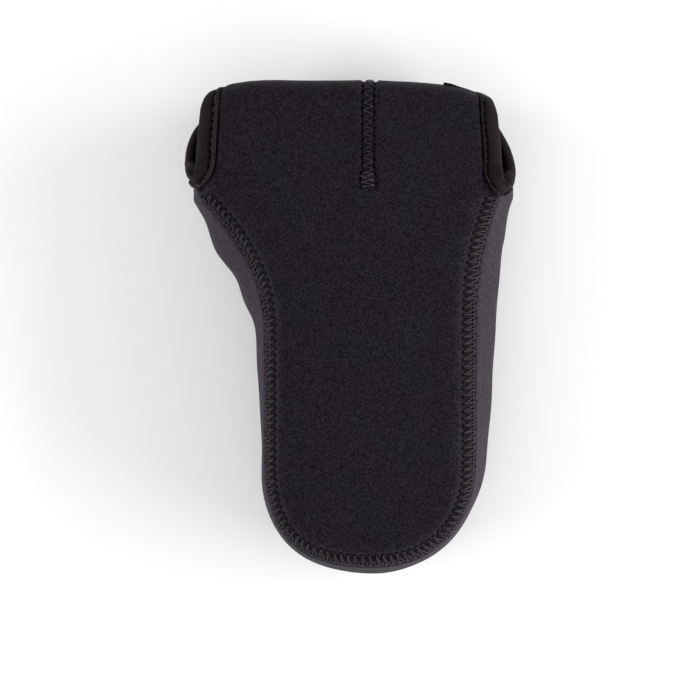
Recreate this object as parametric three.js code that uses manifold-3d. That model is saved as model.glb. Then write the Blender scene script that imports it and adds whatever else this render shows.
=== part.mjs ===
// Soft neoprene case for a reflex camera with its zoom lens fitted.
// It lies on its back panel: +X is to the right of the front panel, +Y runs along the lens axis
// from the nose to the flap, and +Z points out of the front panel. Sizes are in millimetres.
// The origin is under the middle of the case, on the surface that it lies on.

import * as THREE from 'three';
import { mergeVertices } from 'three/addons/utils/BufferGeometryUtils.js';
import Module from 'manifold-3d';

const wasm = await Module();
wasm.setup();

// Overall sizes, outside
const CASE_LENGTH = 241;
const CASE_DEPTH = 86;

// Neoprene sheet and how it is joined
const SHEET = 3;
const CLEARANCE = 0.3;
const SEAM_GAP = 1;

// Lens stem: its axis from the middle of the camera bar, half its width between the seams
const LENS_AXIS = 10;
const STEM_HALF = 49;
const NOSE_LENGTH = 49;
const LEFT_NOSE_FULLNESS = 0.7;
const RIGHT_NOSE_FULLNESS = 0.63;

// Shoulders, from the stem out to the camera bar
const SHOULDER_START_Y = 0;
const SHOULDER_END_Y = 65;
const SHOULDER_HANDLE = 27;
const SHOULDER_DROP = 19;
const LEFT_SHOULDER_RUN = 18.5;
const RIGHT_SHOULDER_RUN = 8.5;
const BAR_EDGE = 71.5;

// Rounding of the panels towards their seams and towards the strap openings
const SEAM_RADIUS = 14;
const SEAM_TURN = THREE.MathUtils.degToRad(60);
const RIM_RADIUS = 26;
const RIM_TURN = THREE.MathUtils.degToRad(36);
const RIM_BLEND = 20;

// Gusset between the two panels: how far it bows out, and its two bound ends
const BULGE = 7.8;
const NOSE_BULGE = 5.5;
const GRIP_BULGE = 8;
const GRIP_BULGE_Y = 35;
const GRIP_BULGE_SPREAD = 20;
const SIDE_BULGE = 1.8;
const SIDE_BULGE_Y = 18;
const SIDE_BULGE_SPREAD = 32;
const SHOULDER_BULGE = 5;
const NOSE_TUCK = 4;
const NOSE_TUCK_Y = -88;
const NOSE_TUCK_SPREAD = 22;

// Free edge of the gusset beside each strap opening, from the front seam up to the lip.
// It swells out and rises at its lower end, and comes in to the lip at its upper end.
const LEFT_SWELL = 9.5;
const LEFT_SWELL_RISE = 9;
const LEFT_INLET = 35;
const LEFT_INLET_DROP = 4;
const RIGHT_SWELL = 12.5;
const RIGHT_SWELL_RISE = 7;
const RIGHT_INLET = 20;
const RIGHT_INLET_DROP = 6;
const SWELL_Z = 66;
const INLET_LIFT = 3;

// Elastic binding rolled round every open edge
const ROLL = 7;
const ROLL_INSET = 1;
const FLAP_ROLL = 5;

// Flap over the camera's back, and the lip of the back panel under it
const FOLD_RADIUS = 9;
const LEFT_DROOP = 6;
const LEFT_DROOP_POWER = 5;
const RIGHT_DROOP = 8.5;
const RIGHT_DROOP_POWER = 3;
const DROOP_RUN = 34;
const FRONT_HANDLE = 66;
const BACK_HANDLE = 27;
const FLAP_EDGE_Z = 17.5;
const FLAP_HALF = 60;
const FLAP_CORNER = 16;
const FLAP_TAPER = 20;
const LIP_RADIUS = 9;
const LIP_MARGIN = 7.5;
const LIP_HALF = 50;
const LIP_TAPER = 5;
const HINGE_RELIEF = 1.2;

// Hook and loop closure and the blank tape tab
const PATCH_WIDTH = 70;
const PATCH_HEIGHT = 17;
const PATCH_MARGIN = 6;
const HOOK_THICKNESS = 1.8;
const LOOP_THICKNESS = 1.8;
const PATCH_STITCH_INSET = 2;
const TAB_LEFT = 45.5;
const TAB_WIDTH = 9.5;
const TAB_HEIGHT = 13;
const TAB_THICKNESS = 1.2;

// Sewing thread
const THREAD = 0.7;
const ZIGZAG_WIDTH = 6.6;
const ZIGZAG_PITCH = 4.2;
const ZIGZAG_LIFT = 0.75;
const DART_END_Y = 67;
const DART_WIDTH = 5.4;
const DART_PITCH = 3.2;
const DART_ON_FLAP = 14;
const DART_RELIEF = 2.3;
const TACK_WIDTH = 8.4;
const TACK_PITCH = 1.7;
const TACK_LENGTH = 8.5;
const BINDING_STITCH_INSET = 3.4;

// Facets
const OUTLINE_STEPS = 24;
const NOSE_STEPS = 7;
const STEM_STEPS = 3;
const SHOULDER_STEPS = 6;
const UPPER_STEPS = 6;
const BAR_STEPS = 5;
const FOLD_STEPS = 3;
const HANG_STEPS = 4;
const LIP_STEPS = 3;
const CORNER_STEPS = 5;
const GUSSET_COLUMNS = 6;
const RIM_COLUMNS = 3;
const FRONT_RIM_STEPS = 5;
const GUSSET_RIM_STEPS = 7;
const LIP_EDGE_STEPS = 6;
const OPENING_ROLL_STEPS = 36;
const FLAP_ROLL_STEPS = 40;
const LIP_ROLL_STEPS = 10;
const ROLL_SIDES = 8;
const THREAD_SIDES = 3;
const STITCH_POINTS = 4;

// Working steps: search rounds for an edge, step for a surface's normal, weld distance,
// share of a row that may round off, share of the flap's corners that its rows reach into
const EDGE_ROUNDS = 30;
const NORMAL_STEP = 0.05;
const WELD = 1e-4;
const ROUNDED_SHARE = 0.4;
const CORNER_SHARE = 0.92;
const RIM_START = 0.22;
const RIM_END = 0.95;
const RIM_NUDGE = 0.01;

// Levels that follow from the sizes
const LEFT = -1;
const RIGHT = 1;
const NOSE_Y = -CASE_LENGTH / 2 + SHEET / 2 + NOSE_BULGE;
const NOSE_START_Y = NOSE_Y + NOSE_LENGTH;
const FRONT_Z = CASE_DEPTH - SHEET / 2;
const BACK_Z = SHEET / 2;
const FLAP_Y = CASE_LENGTH / 2 - FLAP_ROLL / 2;
const FOLD_Y = FLAP_Y - FOLD_RADIUS;
const FOLD_LENGTH = FOLD_RADIUS * Math.PI / 2;
const FLAP_START = FOLD_Y + FOLD_LENGTH;
const FLAP_END = FLAP_START + FRONT_Z - FOLD_RADIUS - FLAP_EDGE_Z;
const PATCH_SPACE = HOOK_THICKNESS + LOOP_THICKNESS + 3 * CLEARANCE;
const CLOSURE_SPACE = Math.max(PATCH_SPACE, ROLL - SHEET + 2 * CLEARANCE);
const LIP_Y = FLAP_Y - SHEET - CLOSURE_SPACE;
const LIP_FOLD_Y = LIP_Y - LIP_RADIUS;
const LIP_START = LIP_FOLD_Y + LIP_RADIUS * Math.PI / 2;
const UPPER_END = (LIP_FOLD_Y + LIP_START) / 2;
const PATCH_BASE = FLAP_EDGE_Z + PATCH_MARGIN;
const LIP_TOP = PATCH_BASE + PATCH_HEIGHT + LIP_MARGIN;
const LIP_END = LIP_START + LIP_TOP - BACK_Z - LIP_RADIUS;
const HINGE_L = FOLD_Y + FOLD_LENGTH / 2;

const flat = (x, y) => new THREE.Vector2(x, y);
const point = (x, y, z) => new THREE.Vector3(x, y, z);
const { clamp, lerp, smoothstep } = THREE.MathUtils;

function spacedLengths(from, to, steps) {
  return Array.from({ length: steps + 1 }, (_, i) => lerp(from, to, i / steps));
}

// Cut outlines of the panels, laid flat: x across, l along from the nose

function stemX(side) {
  return LENS_AXIS + side * STEM_HALF;
}

function noseCurve(side) {
  const fullness = side === LEFT ? LEFT_NOSE_FULLNESS : RIGHT_NOSE_FULLNESS;
  return new THREE.CubicBezierCurve(
    flat(LENS_AXIS, NOSE_Y),
    flat(LENS_AXIS + side * STEM_HALF * fullness, NOSE_Y),
    flat(stemX(side), NOSE_START_Y - NOSE_LENGTH * fullness),
    flat(stemX(side), NOSE_START_Y),
  );
}

function stemCurve(side) {
  return new THREE.LineCurve(flat(stemX(side), NOSE_START_Y), flat(stemX(side), SHOULDER_START_Y));
}

function shoulderCurve(side) {
  const run = side === LEFT ? LEFT_SHOULDER_RUN : RIGHT_SHOULDER_RUN;
  return new THREE.CubicBezierCurve(
    flat(stemX(side), SHOULDER_START_Y),
    flat(stemX(side), SHOULDER_START_Y + SHOULDER_HANDLE),
    flat(side * (BAR_EDGE - run), SHOULDER_END_Y - SHOULDER_DROP),
    flat(side * BAR_EDGE, SHOULDER_END_Y),
  );
}

// Edge of a panel above its shoulders, drawn in towards the flap or the lip
function openCurve(side, open) {
  return new THREE.CubicBezierCurve(
    flat(side * BAR_EDGE, SHOULDER_END_Y),
    flat(side * BAR_EDGE, SHOULDER_END_Y + open.handle),
    flat(side * open.half, SHOULDER_END_Y + open.handle),
    flat(side * open.half, open.length),
  );
}

const FRONT_OPEN = { half: FLAP_HALF, length: FLAP_START + FLAP_TAPER, handle: FRONT_HANDLE };
const BACK_OPEN = { half: LIP_HALF, length: LIP_START + LIP_TAPER, handle: BACK_HANDLE };

// Half width of a panel above its shoulders, at length l
function openHalf(open, l) {
  if (l >= open.length) {
    return open.half;
  }
  const curve = openCurve(RIGHT, open);
  let low = 0;
  let high = 1;
  for (let i = 0; i < EDGE_ROUNDS; i += 1) {
    const t = (low + high) / 2;
    if (curve.getPoint(t).y < l) {
      low = t;
    } else {
      high = t;
    }
  }
  return curve.getPoint(low).x;
}

function samplesOn(curve, steps, side) {
  return spacedLengths(0, 1, steps).slice(1).map((share) => {
    const tangent = curve.getTangent(share);
    return { at: curve.getPoint(share), out: flat(side * tangent.y, -side * tangent.x) };
  });
}

// Seam samples of one side from the nose tip up, each with its outward direction in plan
function seamSamples(side) {
  return [
    ...samplesOn(noseCurve(side), NOSE_STEPS, side),
    ...samplesOn(stemCurve(side), STEM_STEPS, side),
    ...samplesOn(shoulderCurve(side), SHOULDER_STEPS, side),
  ];
}

// Samples on the back panel's edge above the shoulders, where only the gusset's back edge is sewn
function upperSamples(side) {
  return spacedLengths(SHOULDER_END_Y, UPPER_END, UPPER_STEPS).slice(1).map((l) => {
    const run = flat(openHalf(BACK_OPEN, l) - openHalf(BACK_OPEN, l - NORMAL_STEP), NORMAL_STEP);
    return { at: flat(side * openHalf(BACK_OPEN, l), l), out: flat(side * run.y, -run.x).normalize() };
  });
}

// The edges that a panel rounds off to, as chains of points from the nose up
function outlineOf(open) {
  return [LEFT, RIGHT].map((side) => {
    const curves = [noseCurve(side), stemCurve(side), shoulderCurve(side)];
    curves.push(openCurve(side, open));
    const chain = curves.flatMap((curve) => curve.getPoints(OUTLINE_STEPS));
    chain.push(flat(side * open.half, open.length + CASE_LENGTH));
    return { side, chain };
  });
}

// Distance from a flat point to those edges, less than nothing outside them

function edgeDistance(chains, x, l) {
  const at = point(x, l, 0);
  const nearest = point(0, 0, 0);
  const line = new THREE.Line3();
  let best = Infinity;
  let inside = true;
  for (const { side, chain } of chains) {
    for (let i = 1; i < chain.length; i += 1) {
      line.set(point(chain[i - 1].x, chain[i - 1].y, 0), point(chain[i].x, chain[i].y, 0));
      line.closestPointToPoint(at, true, nearest);
      const distance = nearest.distanceTo(at);
      if (distance < best) {
        const run = line.delta(point(0, 0, 0));
        best = distance;
        inside = side * (run.x * (l - line.start.y) - run.y * (x - line.start.x)) >= 0;
      }
    }
  }
  return inside ? best : -best;
}

// How far a panel has rounded off at a distance from its edge. openness is 0 beside a seam
// and 1 beside a strap opening.
function roundOff(distance, openness) {
  const radius = lerp(SEAM_RADIUS, RIM_RADIUS, openness);
  const turn = lerp(SEAM_TURN, RIM_TURN, openness);
  const reach = Math.max(radius * Math.sin(turn) - distance, 0);
  return radius - Math.sqrt(radius * radius - reach * reach);
}

function opennessAt(l) {
  return smoothstep(l, SHOULDER_END_Y - RIM_BLEND, SHOULDER_END_Y);
}

// How far the fold droops towards its ends
function foldDroop(x, l) {
  const power = x < 0 ? LEFT_DROOP_POWER : RIGHT_DROOP_POWER;
  const droop = (x < 0 ? LEFT_DROOP : RIGHT_DROOP) * Math.abs(x / BAR_EDGE) ** power;
  const rise = smoothstep(l, FOLD_Y - DROOP_RUN, FOLD_Y);
  return droop * rise * (1 - smoothstep(l, FLAP_START, FLAP_START + DROOP_RUN));
}

const frontChains = outlineOf(FRONT_OPEN);
const backChains = outlineOf(BACK_OPEN);
const SEAM_DROP = roundOff(0, 0);
const RIM_DROP = roundOff(0, 1);

// Middle surface of the front panel and the flap, which are one sheet bent over the fold
function frontPoint(x, l) {
  const fade = 1 - smoothstep(l, FOLD_Y, FLAP_START + FLAP_TAPER);
  const drop = roundOff(edgeDistance(frontChains, x, l), opennessAt(l)) * fade;
  const droop = foldDroop(x, l);
  if (l <= FOLD_Y) {
    return point(x, l - droop, FRONT_Z - drop);
  }
  const turn = Math.min((l - FOLD_Y) / FOLD_RADIUS, Math.PI / 2);
  const radius = FOLD_RADIUS - drop;
  const hang = Math.max(l - FLAP_START, 0);
  const z = FRONT_Z - FOLD_RADIUS + radius * Math.cos(turn) - hang;
  return point(x, FOLD_Y + radius * Math.sin(turn) - droop, z);
}

// Middle surface of the back panel, whose end is turned up as the lip
function backPoint(x, l) {
  const fade = 1 - smoothstep(l, LIP_FOLD_Y, LIP_START + LIP_TAPER);
  const rise = roundOff(edgeDistance(backChains, x, l), 0) * fade;
  if (l <= LIP_FOLD_Y) {
    return point(x, l, BACK_Z + rise);
  }
  const turn = Math.min((l - LIP_FOLD_Y) / LIP_RADIUS, Math.PI / 2);
  const radius = LIP_RADIUS - rise;
  const stand = Math.max(l - LIP_START, 0);
  const z = BACK_Z + LIP_RADIUS - radius * Math.cos(turn) + stand;
  return point(x, LIP_FOLD_Y + radius * Math.sin(turn), z);
}

// Unit normal of a surface given by a function of two lengths
function normalOf(surface, x, l) {
  const across = surface(x + NORMAL_STEP, l).sub(surface(x - NORMAL_STEP, l));
  const along = surface(x, l + NORMAL_STEP).sub(surface(x, l - NORMAL_STEP));
  return across.cross(along).normalize();
}

// How far the gusset bows out at a seam sample
function bowOut(sample, side) {
  const { x, y } = sample.at;
  const near = (middle, spread) => Math.exp(-(((y - middle) / spread) ** 2));
  const lower = lerp(NOSE_BULGE, BULGE, smoothstep(y, NOSE_START_Y, SHOULDER_START_Y));
  const even = lerp(lower, SHOULDER_BULGE, opennessAt(y));
  if (side === LEFT) {
    return even + GRIP_BULGE * near(GRIP_BULGE_Y, GRIP_BULGE_SPREAD);
  }
  const aside = smoothstep(x, LENS_AXIS, LENS_AXIS + STEM_HALF);
  const tuck = NOSE_TUCK * aside * near(NOSE_TUCK_Y, NOSE_TUCK_SPREAD);
  return even + SIDE_BULGE * near(SIDE_BULGE_Y, SIDE_BULGE_SPREAD) - tuck;
}

// Free edge of the gusset, at a share of its run from the front seam to the lip
function rimPoint(side, share) {
  const left = side === LEFT;
  const swell = BAR_EDGE + (left ? LEFT_SWELL : RIGHT_SWELL);
  const swellY = SHOULDER_END_Y + (left ? LEFT_SWELL_RISE : RIGHT_SWELL_RISE);
  const inlet = LIP_HALF + (left ? LEFT_INLET : RIGHT_INLET);
  const inletY = LIP_Y - (left ? LEFT_INLET_DROP : RIGHT_INLET_DROP);
  const curve = new THREE.CubicBezierCurve3(
    point(side * BAR_EDGE, SHOULDER_END_Y, FRONT_Z - RIM_DROP),
    point(side * swell, swellY, SWELL_Z),
    point(side * inlet, inletY, LIP_TOP + INLET_LIFT),
    point(side * LIP_HALF, LIP_Y, LIP_TOP),
  );
  return curve.getPoint(share);
}

// Side edge of the turned-up lip, from its top down to the middle of its bend
function lipSide(side, bow) {
  const l = lerp(LIP_END, UPPER_END, bow);
  return backPoint(side * openHalf(BACK_OPEN, l), l);
}

// Middle surface of the gusset at a sample on the back panel's edge: bow is 0 at its front edge,
// which is a seam up to the shoulders and free above them, and 1 at the back seam
function gussetPoint(sample, side, bow) {
  const { x, y } = sample.at;
  const share = clamp((y - SHOULDER_END_Y) / (UPPER_END - SHOULDER_END_Y), 0, 1);
  const front = point(x, y, FRONT_Z - roundOff(0, opennessAt(y)));
  const place = (share > 0 ? rimPoint(side, share) : front).lerp(backPoint(x, y), bow);
  const out = bowOut(sample, side) * Math.sin(Math.PI * bow) * (1 - share);
  place.add(point(sample.out.x * out, sample.out.y * out, 0));
  const straight = lipSide(side, 0).lerp(lipSide(side, 1), bow);
  return place.addScaledVector(lipSide(side, bow).sub(straight), share ** 3);
}

// Solids

function closedGeometry(positions, triangles) {
  const geometry = new THREE.BufferGeometry();
  geometry.setAttribute('position', new THREE.Float32BufferAttribute(positions, 3));
  geometry.setIndex(triangles);
  return geometry;
}

// Places on a grid of points, each with the normal of the surface through them
function placesOf(grid) {
  const lastRow = grid.length - 1;
  const lastColumn = grid[0].length - 1;
  return grid.map((row, i) => row.map((at, j) => {
    const along = grid[Math.min(i + 1, lastRow)][j].clone().sub(grid[Math.max(i - 1, 0)][j]);
    const across = row[Math.min(j + 1, lastColumn)].clone().sub(row[Math.max(j - 1, 0)]);
    return { at, normal: across.cross(along).normalize() };
  }));
}

// A sheet of even thickness on a grid of places on its middle surface
function sheetGeometry(grid, thickness) {
  const rows = grid.length;
  const columns = grid[0].length;
  const positions = [];
  for (const face of [1, -1]) {
    for (let i = 0; i < rows; i += 1) {
      for (let j = 0; j < columns; j += 1) {
        const { at, normal } = grid[i][j];
        positions.push(...at.clone().addScaledVector(normal, face * thickness / 2).toArray());
      }
    }
  }
  const top = (i, j) => i * columns + j;
  const under = (i, j) => rows * columns + top(i, j);
  const triangles = [];
  const quad = (a, b, c, d) => triangles.push(a, b, c, a, c, d);
  for (let i = 1; i < rows; i += 1) {
    for (let j = 1; j < columns; j += 1) {
      quad(top(i - 1, j - 1), top(i - 1, j), top(i, j), top(i, j - 1));
      quad(under(i - 1, j - 1), under(i, j - 1), under(i, j), under(i - 1, j));
    }
  }
  for (let i = 1; i < rows; i += 1) {
    quad(top(i - 1, 0), top(i, 0), under(i, 0), under(i - 1, 0));
    quad(top(i, columns - 1), top(i - 1, columns - 1), under(i - 1, columns - 1), under(i, columns - 1));
  }
  for (let j = 1; j < columns; j += 1) {
    quad(top(0, j), top(0, j - 1), under(0, j - 1), under(0, j));
    quad(top(rows - 1, j - 1), top(rows - 1, j), under(rows - 1, j), under(rows - 1, j - 1));
  }
  return closedGeometry(positions, triangles);
}

// A thread laid from point to point, mitred where it turns
function threadGeometry(points, thickness = THREAD) {
  const positions = [];
  let lift = point(0, 0, 1);
  points.forEach((at, i) => {
    const before = points[Math.max(i - 1, 0)];
    const ahead = points[Math.min(i + 1, points.length - 1)];
    const leg = at.clone().sub(i === 0 ? at : before).normalize();
    const next = ahead.clone().sub(at).normalize();
    const tangent = leg.clone().add(next).normalize();
    if (i === 0 && Math.abs(tangent.z) > Math.abs(tangent.x)) {
      lift = point(1, 0, 0);
    }
    lift = lift.clone().addScaledVector(tangent, -lift.dot(tangent)).normalize();
    const across = tangent.clone().cross(lift);
    const mitre = thickness / 2 / Math.max(tangent.dot(leg), tangent.dot(next));
    for (let k = 0; k < THREAD_SIDES; k += 1) {
      const angle = 2 * Math.PI * k / THREAD_SIDES;
      const corner = at.clone().addScaledVector(lift, Math.cos(angle) * thickness / 2);
      corner.addScaledVector(across, Math.sin(angle) * mitre);
      positions.push(...corner.toArray());
    }
  });
  const triangles = [];
  const last = (points.length - 1) * THREAD_SIDES;
  for (let i = 0; i < last; i += THREAD_SIDES) {
    for (let k = 0; k < THREAD_SIDES; k += 1) {
      const next = (k + 1) % THREAD_SIDES;
      triangles.push(i + k, i + next, i + THREAD_SIDES + next);
      triangles.push(i + k, i + THREAD_SIDES + next, i + THREAD_SIDES + k);
    }
  }
  for (let k = 1; k < THREAD_SIDES - 1; k += 1) {
    triangles.push(0, k + 1, k, last, last + k, last + k + 1);
  }
  return closedGeometry(positions, triangles);
}

function toSolid(geometry) {
  const bare = geometry.clone();
  bare.deleteAttribute('normal');
  bare.deleteAttribute('uv');
  const merged = mergeVertices(bare, WELD);
  return new wasm.Manifold(new wasm.Mesh({
    numProp: 3,
    vertProperties: new Float32Array(merged.attributes.position.array),
    triVerts: new Uint32Array(merged.index.array),
  }));
}

function toGeometry(solid) {
  const mesh = solid.getMesh();
  return closedGeometry(Array.from(mesh.vertProperties), Array.from(mesh.triVerts));
}

// What is left of a solid, in one piece, after others are cut from it
function cutBack(geometry, cutters) {
  let solid = toSolid(geometry);
  for (const cutter of cutters) {
    solid = solid.subtract(toSolid(cutter));
  }
  const pieces = solid.decompose();
  return toGeometry(pieces.reduce((best, piece) => (piece.volume() > best.volume() ? piece : best)));
}

// A binding roll along a path, slit where the sheets that it wraps run into it
function rollGeometry(path, thickness, steps, sheets) {
  const section = new THREE.Shape();
  for (let k = 0; k < ROLL_SIDES; k += 1) {
    const angle = 2 * Math.PI * (k + 0.5) / ROLL_SIDES;
    const corner = flat(Math.cos(angle), Math.sin(angle)).multiplyScalar(thickness / 2);
    if (k === 0) {
      section.moveTo(corner.x, corner.y);
    } else {
      section.lineTo(corner.x, corner.y);
    }
  }
  section.closePath();
  const curve = new THREE.CatmullRomCurve3(path);
  const roll = new THREE.ExtrudeGeometry(section, { steps, extrudePath: curve, curveSegments: 1 });
  return cutBack(roll, sheets);
}

// Panel grids

// Columns of one row between two edge points, closer together where the panel rounds off
function rowPoints(surface, left, right) {
  const width = right.x - left.x;
  const zone = Math.min(RIM_RADIUS * Math.sin(RIM_TURN) / width, ROUNDED_SHARE);
  const near = spacedLengths(0, zone, RIM_COLUMNS);
  const columns = [...near, 1 / 2, ...near.map((share) => 1 - share).reverse()];
  return columns.map((share) => {
    const x = lerp(left.x, right.x, share);
    const l = lerp(left.y, right.y, share);
    return { at: surface(x, l), normal: normalOf(surface, x, l) };
  });
}

// Rows of a panel from the nose to the end of its shoulders, held back from the seam
function seamRows(surface, holdBack) {
  const left = seamSamples(LEFT);
  const right = seamSamples(RIGHT);
  return left.map((sample, i) => {
    const from = sample.at.clone().addScaledVector(sample.out, -holdBack);
    const to = right[i].at.clone().addScaledVector(right[i].out, -holdBack);
    return rowPoints(surface, from, to);
  });
}

function openRow(surface, open, l, spare) {
  const half = openHalf(open, l) + spare;
  return rowPoints(surface, flat(-half, l), flat(half, l));
}

function frontPanelGrid(holdBack, spare) {
  const bar = spacedLengths(SHOULDER_END_Y, FOLD_Y, BAR_STEPS).slice(1);
  const fold = spacedLengths(FOLD_Y, HINGE_L - CLEARANCE / 2 + spare, FOLD_STEPS).slice(1);
  const rows = [...bar, ...fold].map((l) => openRow(frontPoint, FRONT_OPEN, l, spare));
  return [...seamRows(frontPoint, holdBack), ...rows];
}

function flapGrid(spare) {
  const cornerStart = FLAP_END - FLAP_CORNER;
  const fold = spacedLengths(HINGE_L + CLEARANCE / 2 - spare, FLAP_START, FOLD_STEPS);
  const hang = spacedLengths(FLAP_START, cornerStart, HANG_STEPS).slice(1);
  const rows = [...fold, ...hang].map((l) => openRow(frontPoint, FRONT_OPEN, l, spare));
  for (const angle of spacedLengths(0, CORNER_SHARE * Math.PI / 2, CORNER_STEPS).slice(1)) {
    const half = FLAP_HALF - FLAP_CORNER * (1 - Math.cos(angle)) + spare;
    const l = cornerStart + FLAP_CORNER * Math.sin(angle) + spare * Math.sin(angle);
    rows.push(rowPoints(frontPoint, flat(-half, l), flat(half, l)));
  }
  return rows;
}

function backPanelGrid(holdBack, spare) {
  const bar = spacedLengths(SHOULDER_END_Y, LIP_FOLD_Y, BAR_STEPS).slice(1);
  const fold = spacedLengths(LIP_FOLD_Y, LIP_START, FOLD_STEPS).slice(1);
  const stand = spacedLengths(LIP_START, LIP_END + spare, LIP_STEPS).slice(1);
  const rows = [...bar, ...fold, ...stand].map((l) => openRow(backPoint, BACK_OPEN, l, spare - holdBack));
  return [...seamRows(backPoint, holdBack), ...rows];
}

function gussetGrid(spare) {
  const gap = SEAM_GAP / 2 - spare;
  const start = gap / (FRONT_Z - BACK_Z - 2 * SEAM_DROP);
  const bows = spacedLengths(start, 1 - start, GUSSET_COLUMNS);
  const sideRows = (side) => {
    const rows = [...seamSamples(side), ...upperSamples(side)].map((sample) => (
      bows.map((bow) => gussetPoint(sample, side, bow))));
    rows.at(-1).forEach((at) => at.add(point(side * gap, 0, 0)));
    return rows;
  };
  const tip = { at: flat(LENS_AXIS, NOSE_Y), out: flat(0, -1) };
  const tipRow = bows.map((bow) => gussetPoint(tip, LEFT, bow));
  return placesOf([...sideRows(LEFT).reverse(), tipRow, ...sideRows(RIGHT)]);
}

const frontPanel = sheetGeometry(frontPanelGrid(SEAM_GAP / 2, 0), SHEET);
const flapPanel = sheetGeometry(flapGrid(0), SHEET);
const backPanel = sheetGeometry(backPanelGrid(SEAM_GAP / 2, 0), SHEET);

// The same sheets with the clearance that the bindings keep to them
const CUT = SHEET + 2 * CLEARANCE;
const frontCut = sheetGeometry(frontPanelGrid(0, CLEARANCE), CUT);
const flapCut = sheetGeometry(flapGrid(CLEARANCE), CUT);
const backCut = sheetGeometry(backPanelGrid(0, CLEARANCE), CUT);
const gussetCut = sheetGeometry(gussetGrid(CLEARANCE), CUT);

// The gusset's edges are trimmed to the two panels
const gusset = cutBack(sheetGeometry(gussetGrid(0), SHEET), [frontCut, backCut]);

// Bindings and their stitching

// Edge of a strap opening from the fold, down the front panel, round and up the gusset to the lip.
// inset is how far inside the sheet's edge it runs, lift how far off its middle surface.
function openingPath(side, inset, lift) {
  const corner = SHOULDER_END_Y + ROLL;
  const fold = spacedLengths(HINGE_L - HINGE_RELIEF, FOLD_Y, FOLD_STEPS);
  const rim = spacedLengths(FOLD_Y, corner, FRONT_RIM_STEPS).slice(1);
  const front = [...fold, ...rim].map((l) => {
    const x = side * (openHalf(FRONT_OPEN, l) - inset);
    return frontPoint(x, l).addScaledVector(normalOf(frontPoint, x, l), lift);
  });
  const bottom = point(side * (BAR_EDGE + ROLL_INSET), SHOULDER_END_Y + 2 * ROLL_INSET, FRONT_Z - ROLL);
  bottom.add(point(side * lift, ROLL_INSET - inset, lift).multiplyScalar(Math.SQRT1_2));
  const samples = upperSamples(side);
  const run = new THREE.SplineCurve([flat(side * BAR_EDGE, SHOULDER_END_Y), ...samples.map(({ at }) => at)]);
  const gussetRim = spacedLengths(RIM_START, RIM_END, GUSSET_RIM_STEPS).map((share) => {
    const surface = (s, depth) => {
      const at = run.getPoint(s);
      const tangent = run.getTangent(s);
      const sample = { at, out: flat(side * tangent.y, -side * tangent.x) };
      const height = gussetPoint(sample, side, 0).distanceTo(gussetPoint(sample, side, 1));
      return gussetPoint(sample, side, depth / height);
    };
    const along = surface(share + RIM_NUDGE, inset).sub(surface(share - RIM_NUDGE, inset));
    const down = surface(share, inset + 1).sub(surface(share, inset));
    const out = down.cross(along).multiplyScalar(side).normalize();
    return surface(share, inset).addScaledVector(out, lift);
  });
  return [...front, bottom, ...gussetRim];
}

// How far off the sheet's middle surface the stitches beside a roll lie
function stitchLift(roll) {
  const reach = roll / 2 + THREAD / 2 + 2 * CLEARANCE;
  return Math.sqrt(reach ** 2 - (BINDING_STITCH_INSET - ROLL_INSET) ** 2);
}

function openingStitch(side) {
  const path = openingPath(side, BINDING_STITCH_INSET, stitchLift(ROLL));
  return new THREE.CatmullRomCurve3(path).getSpacedPoints(OPENING_ROLL_STEPS);
}

function openingBinding(side) {
  const path = openingPath(side, ROLL_INSET, 0);
  const groove = threadGeometry(openingStitch(side), THREAD + 4 * CLEARANCE);
  return rollGeometry(path, ROLL, OPENING_ROLL_STEPS, [frontCut, flapCut, gussetCut, backCut, groove]);
}

// Free edge of the flap from the left of the fold round to the right of it
function flapPath(inset, lift) {
  const half = FLAP_HALF - inset;
  const radius = FLAP_CORNER - inset;
  const cornerStart = FLAP_END - FLAP_CORNER;
  const fold = spacedLengths(HINGE_L + HINGE_RELIEF, FLAP_START, FOLD_STEPS);
  const sideLengths = [...fold, ...spacedLengths(FLAP_START, cornerStart, HANG_STEPS).slice(1)];
  const outline = sideLengths.map((l) => flat(openHalf(FRONT_OPEN, l) - inset, l));
  for (const angle of spacedLengths(0, Math.PI / 2, CORNER_STEPS).slice(1)) {
    outline.push(flat(half - radius * (1 - Math.cos(angle)), cornerStart + radius * Math.sin(angle)));
  }
  const mirrored = outline.map((at) => flat(-at.x, at.y));
  return [...mirrored, ...outline.reverse()].map((at) => (
    frontPoint(at.x, at.y).addScaledVector(normalOf(frontPoint, at.x, at.y), lift)));
}

function flapBinding() {
  return rollGeometry(flapPath(ROLL_INSET, 0), FLAP_ROLL, FLAP_ROLL_STEPS, [flapCut, frontCut]);
}

// Top edge of the lip between the two opening bindings
function lipPath(inset, lift, half) {
  return spacedLengths(-half, half, LIP_EDGE_STEPS).map((x) => (
    backPoint(x, LIP_END - inset).add(point(0, lift, 0))));
}

function lipBinding() {
  return rollGeometry(lipPath(ROLL_INSET, 0, LIP_HALF), ROLL, LIP_ROLL_STEPS, [backCut]);
}

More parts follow.
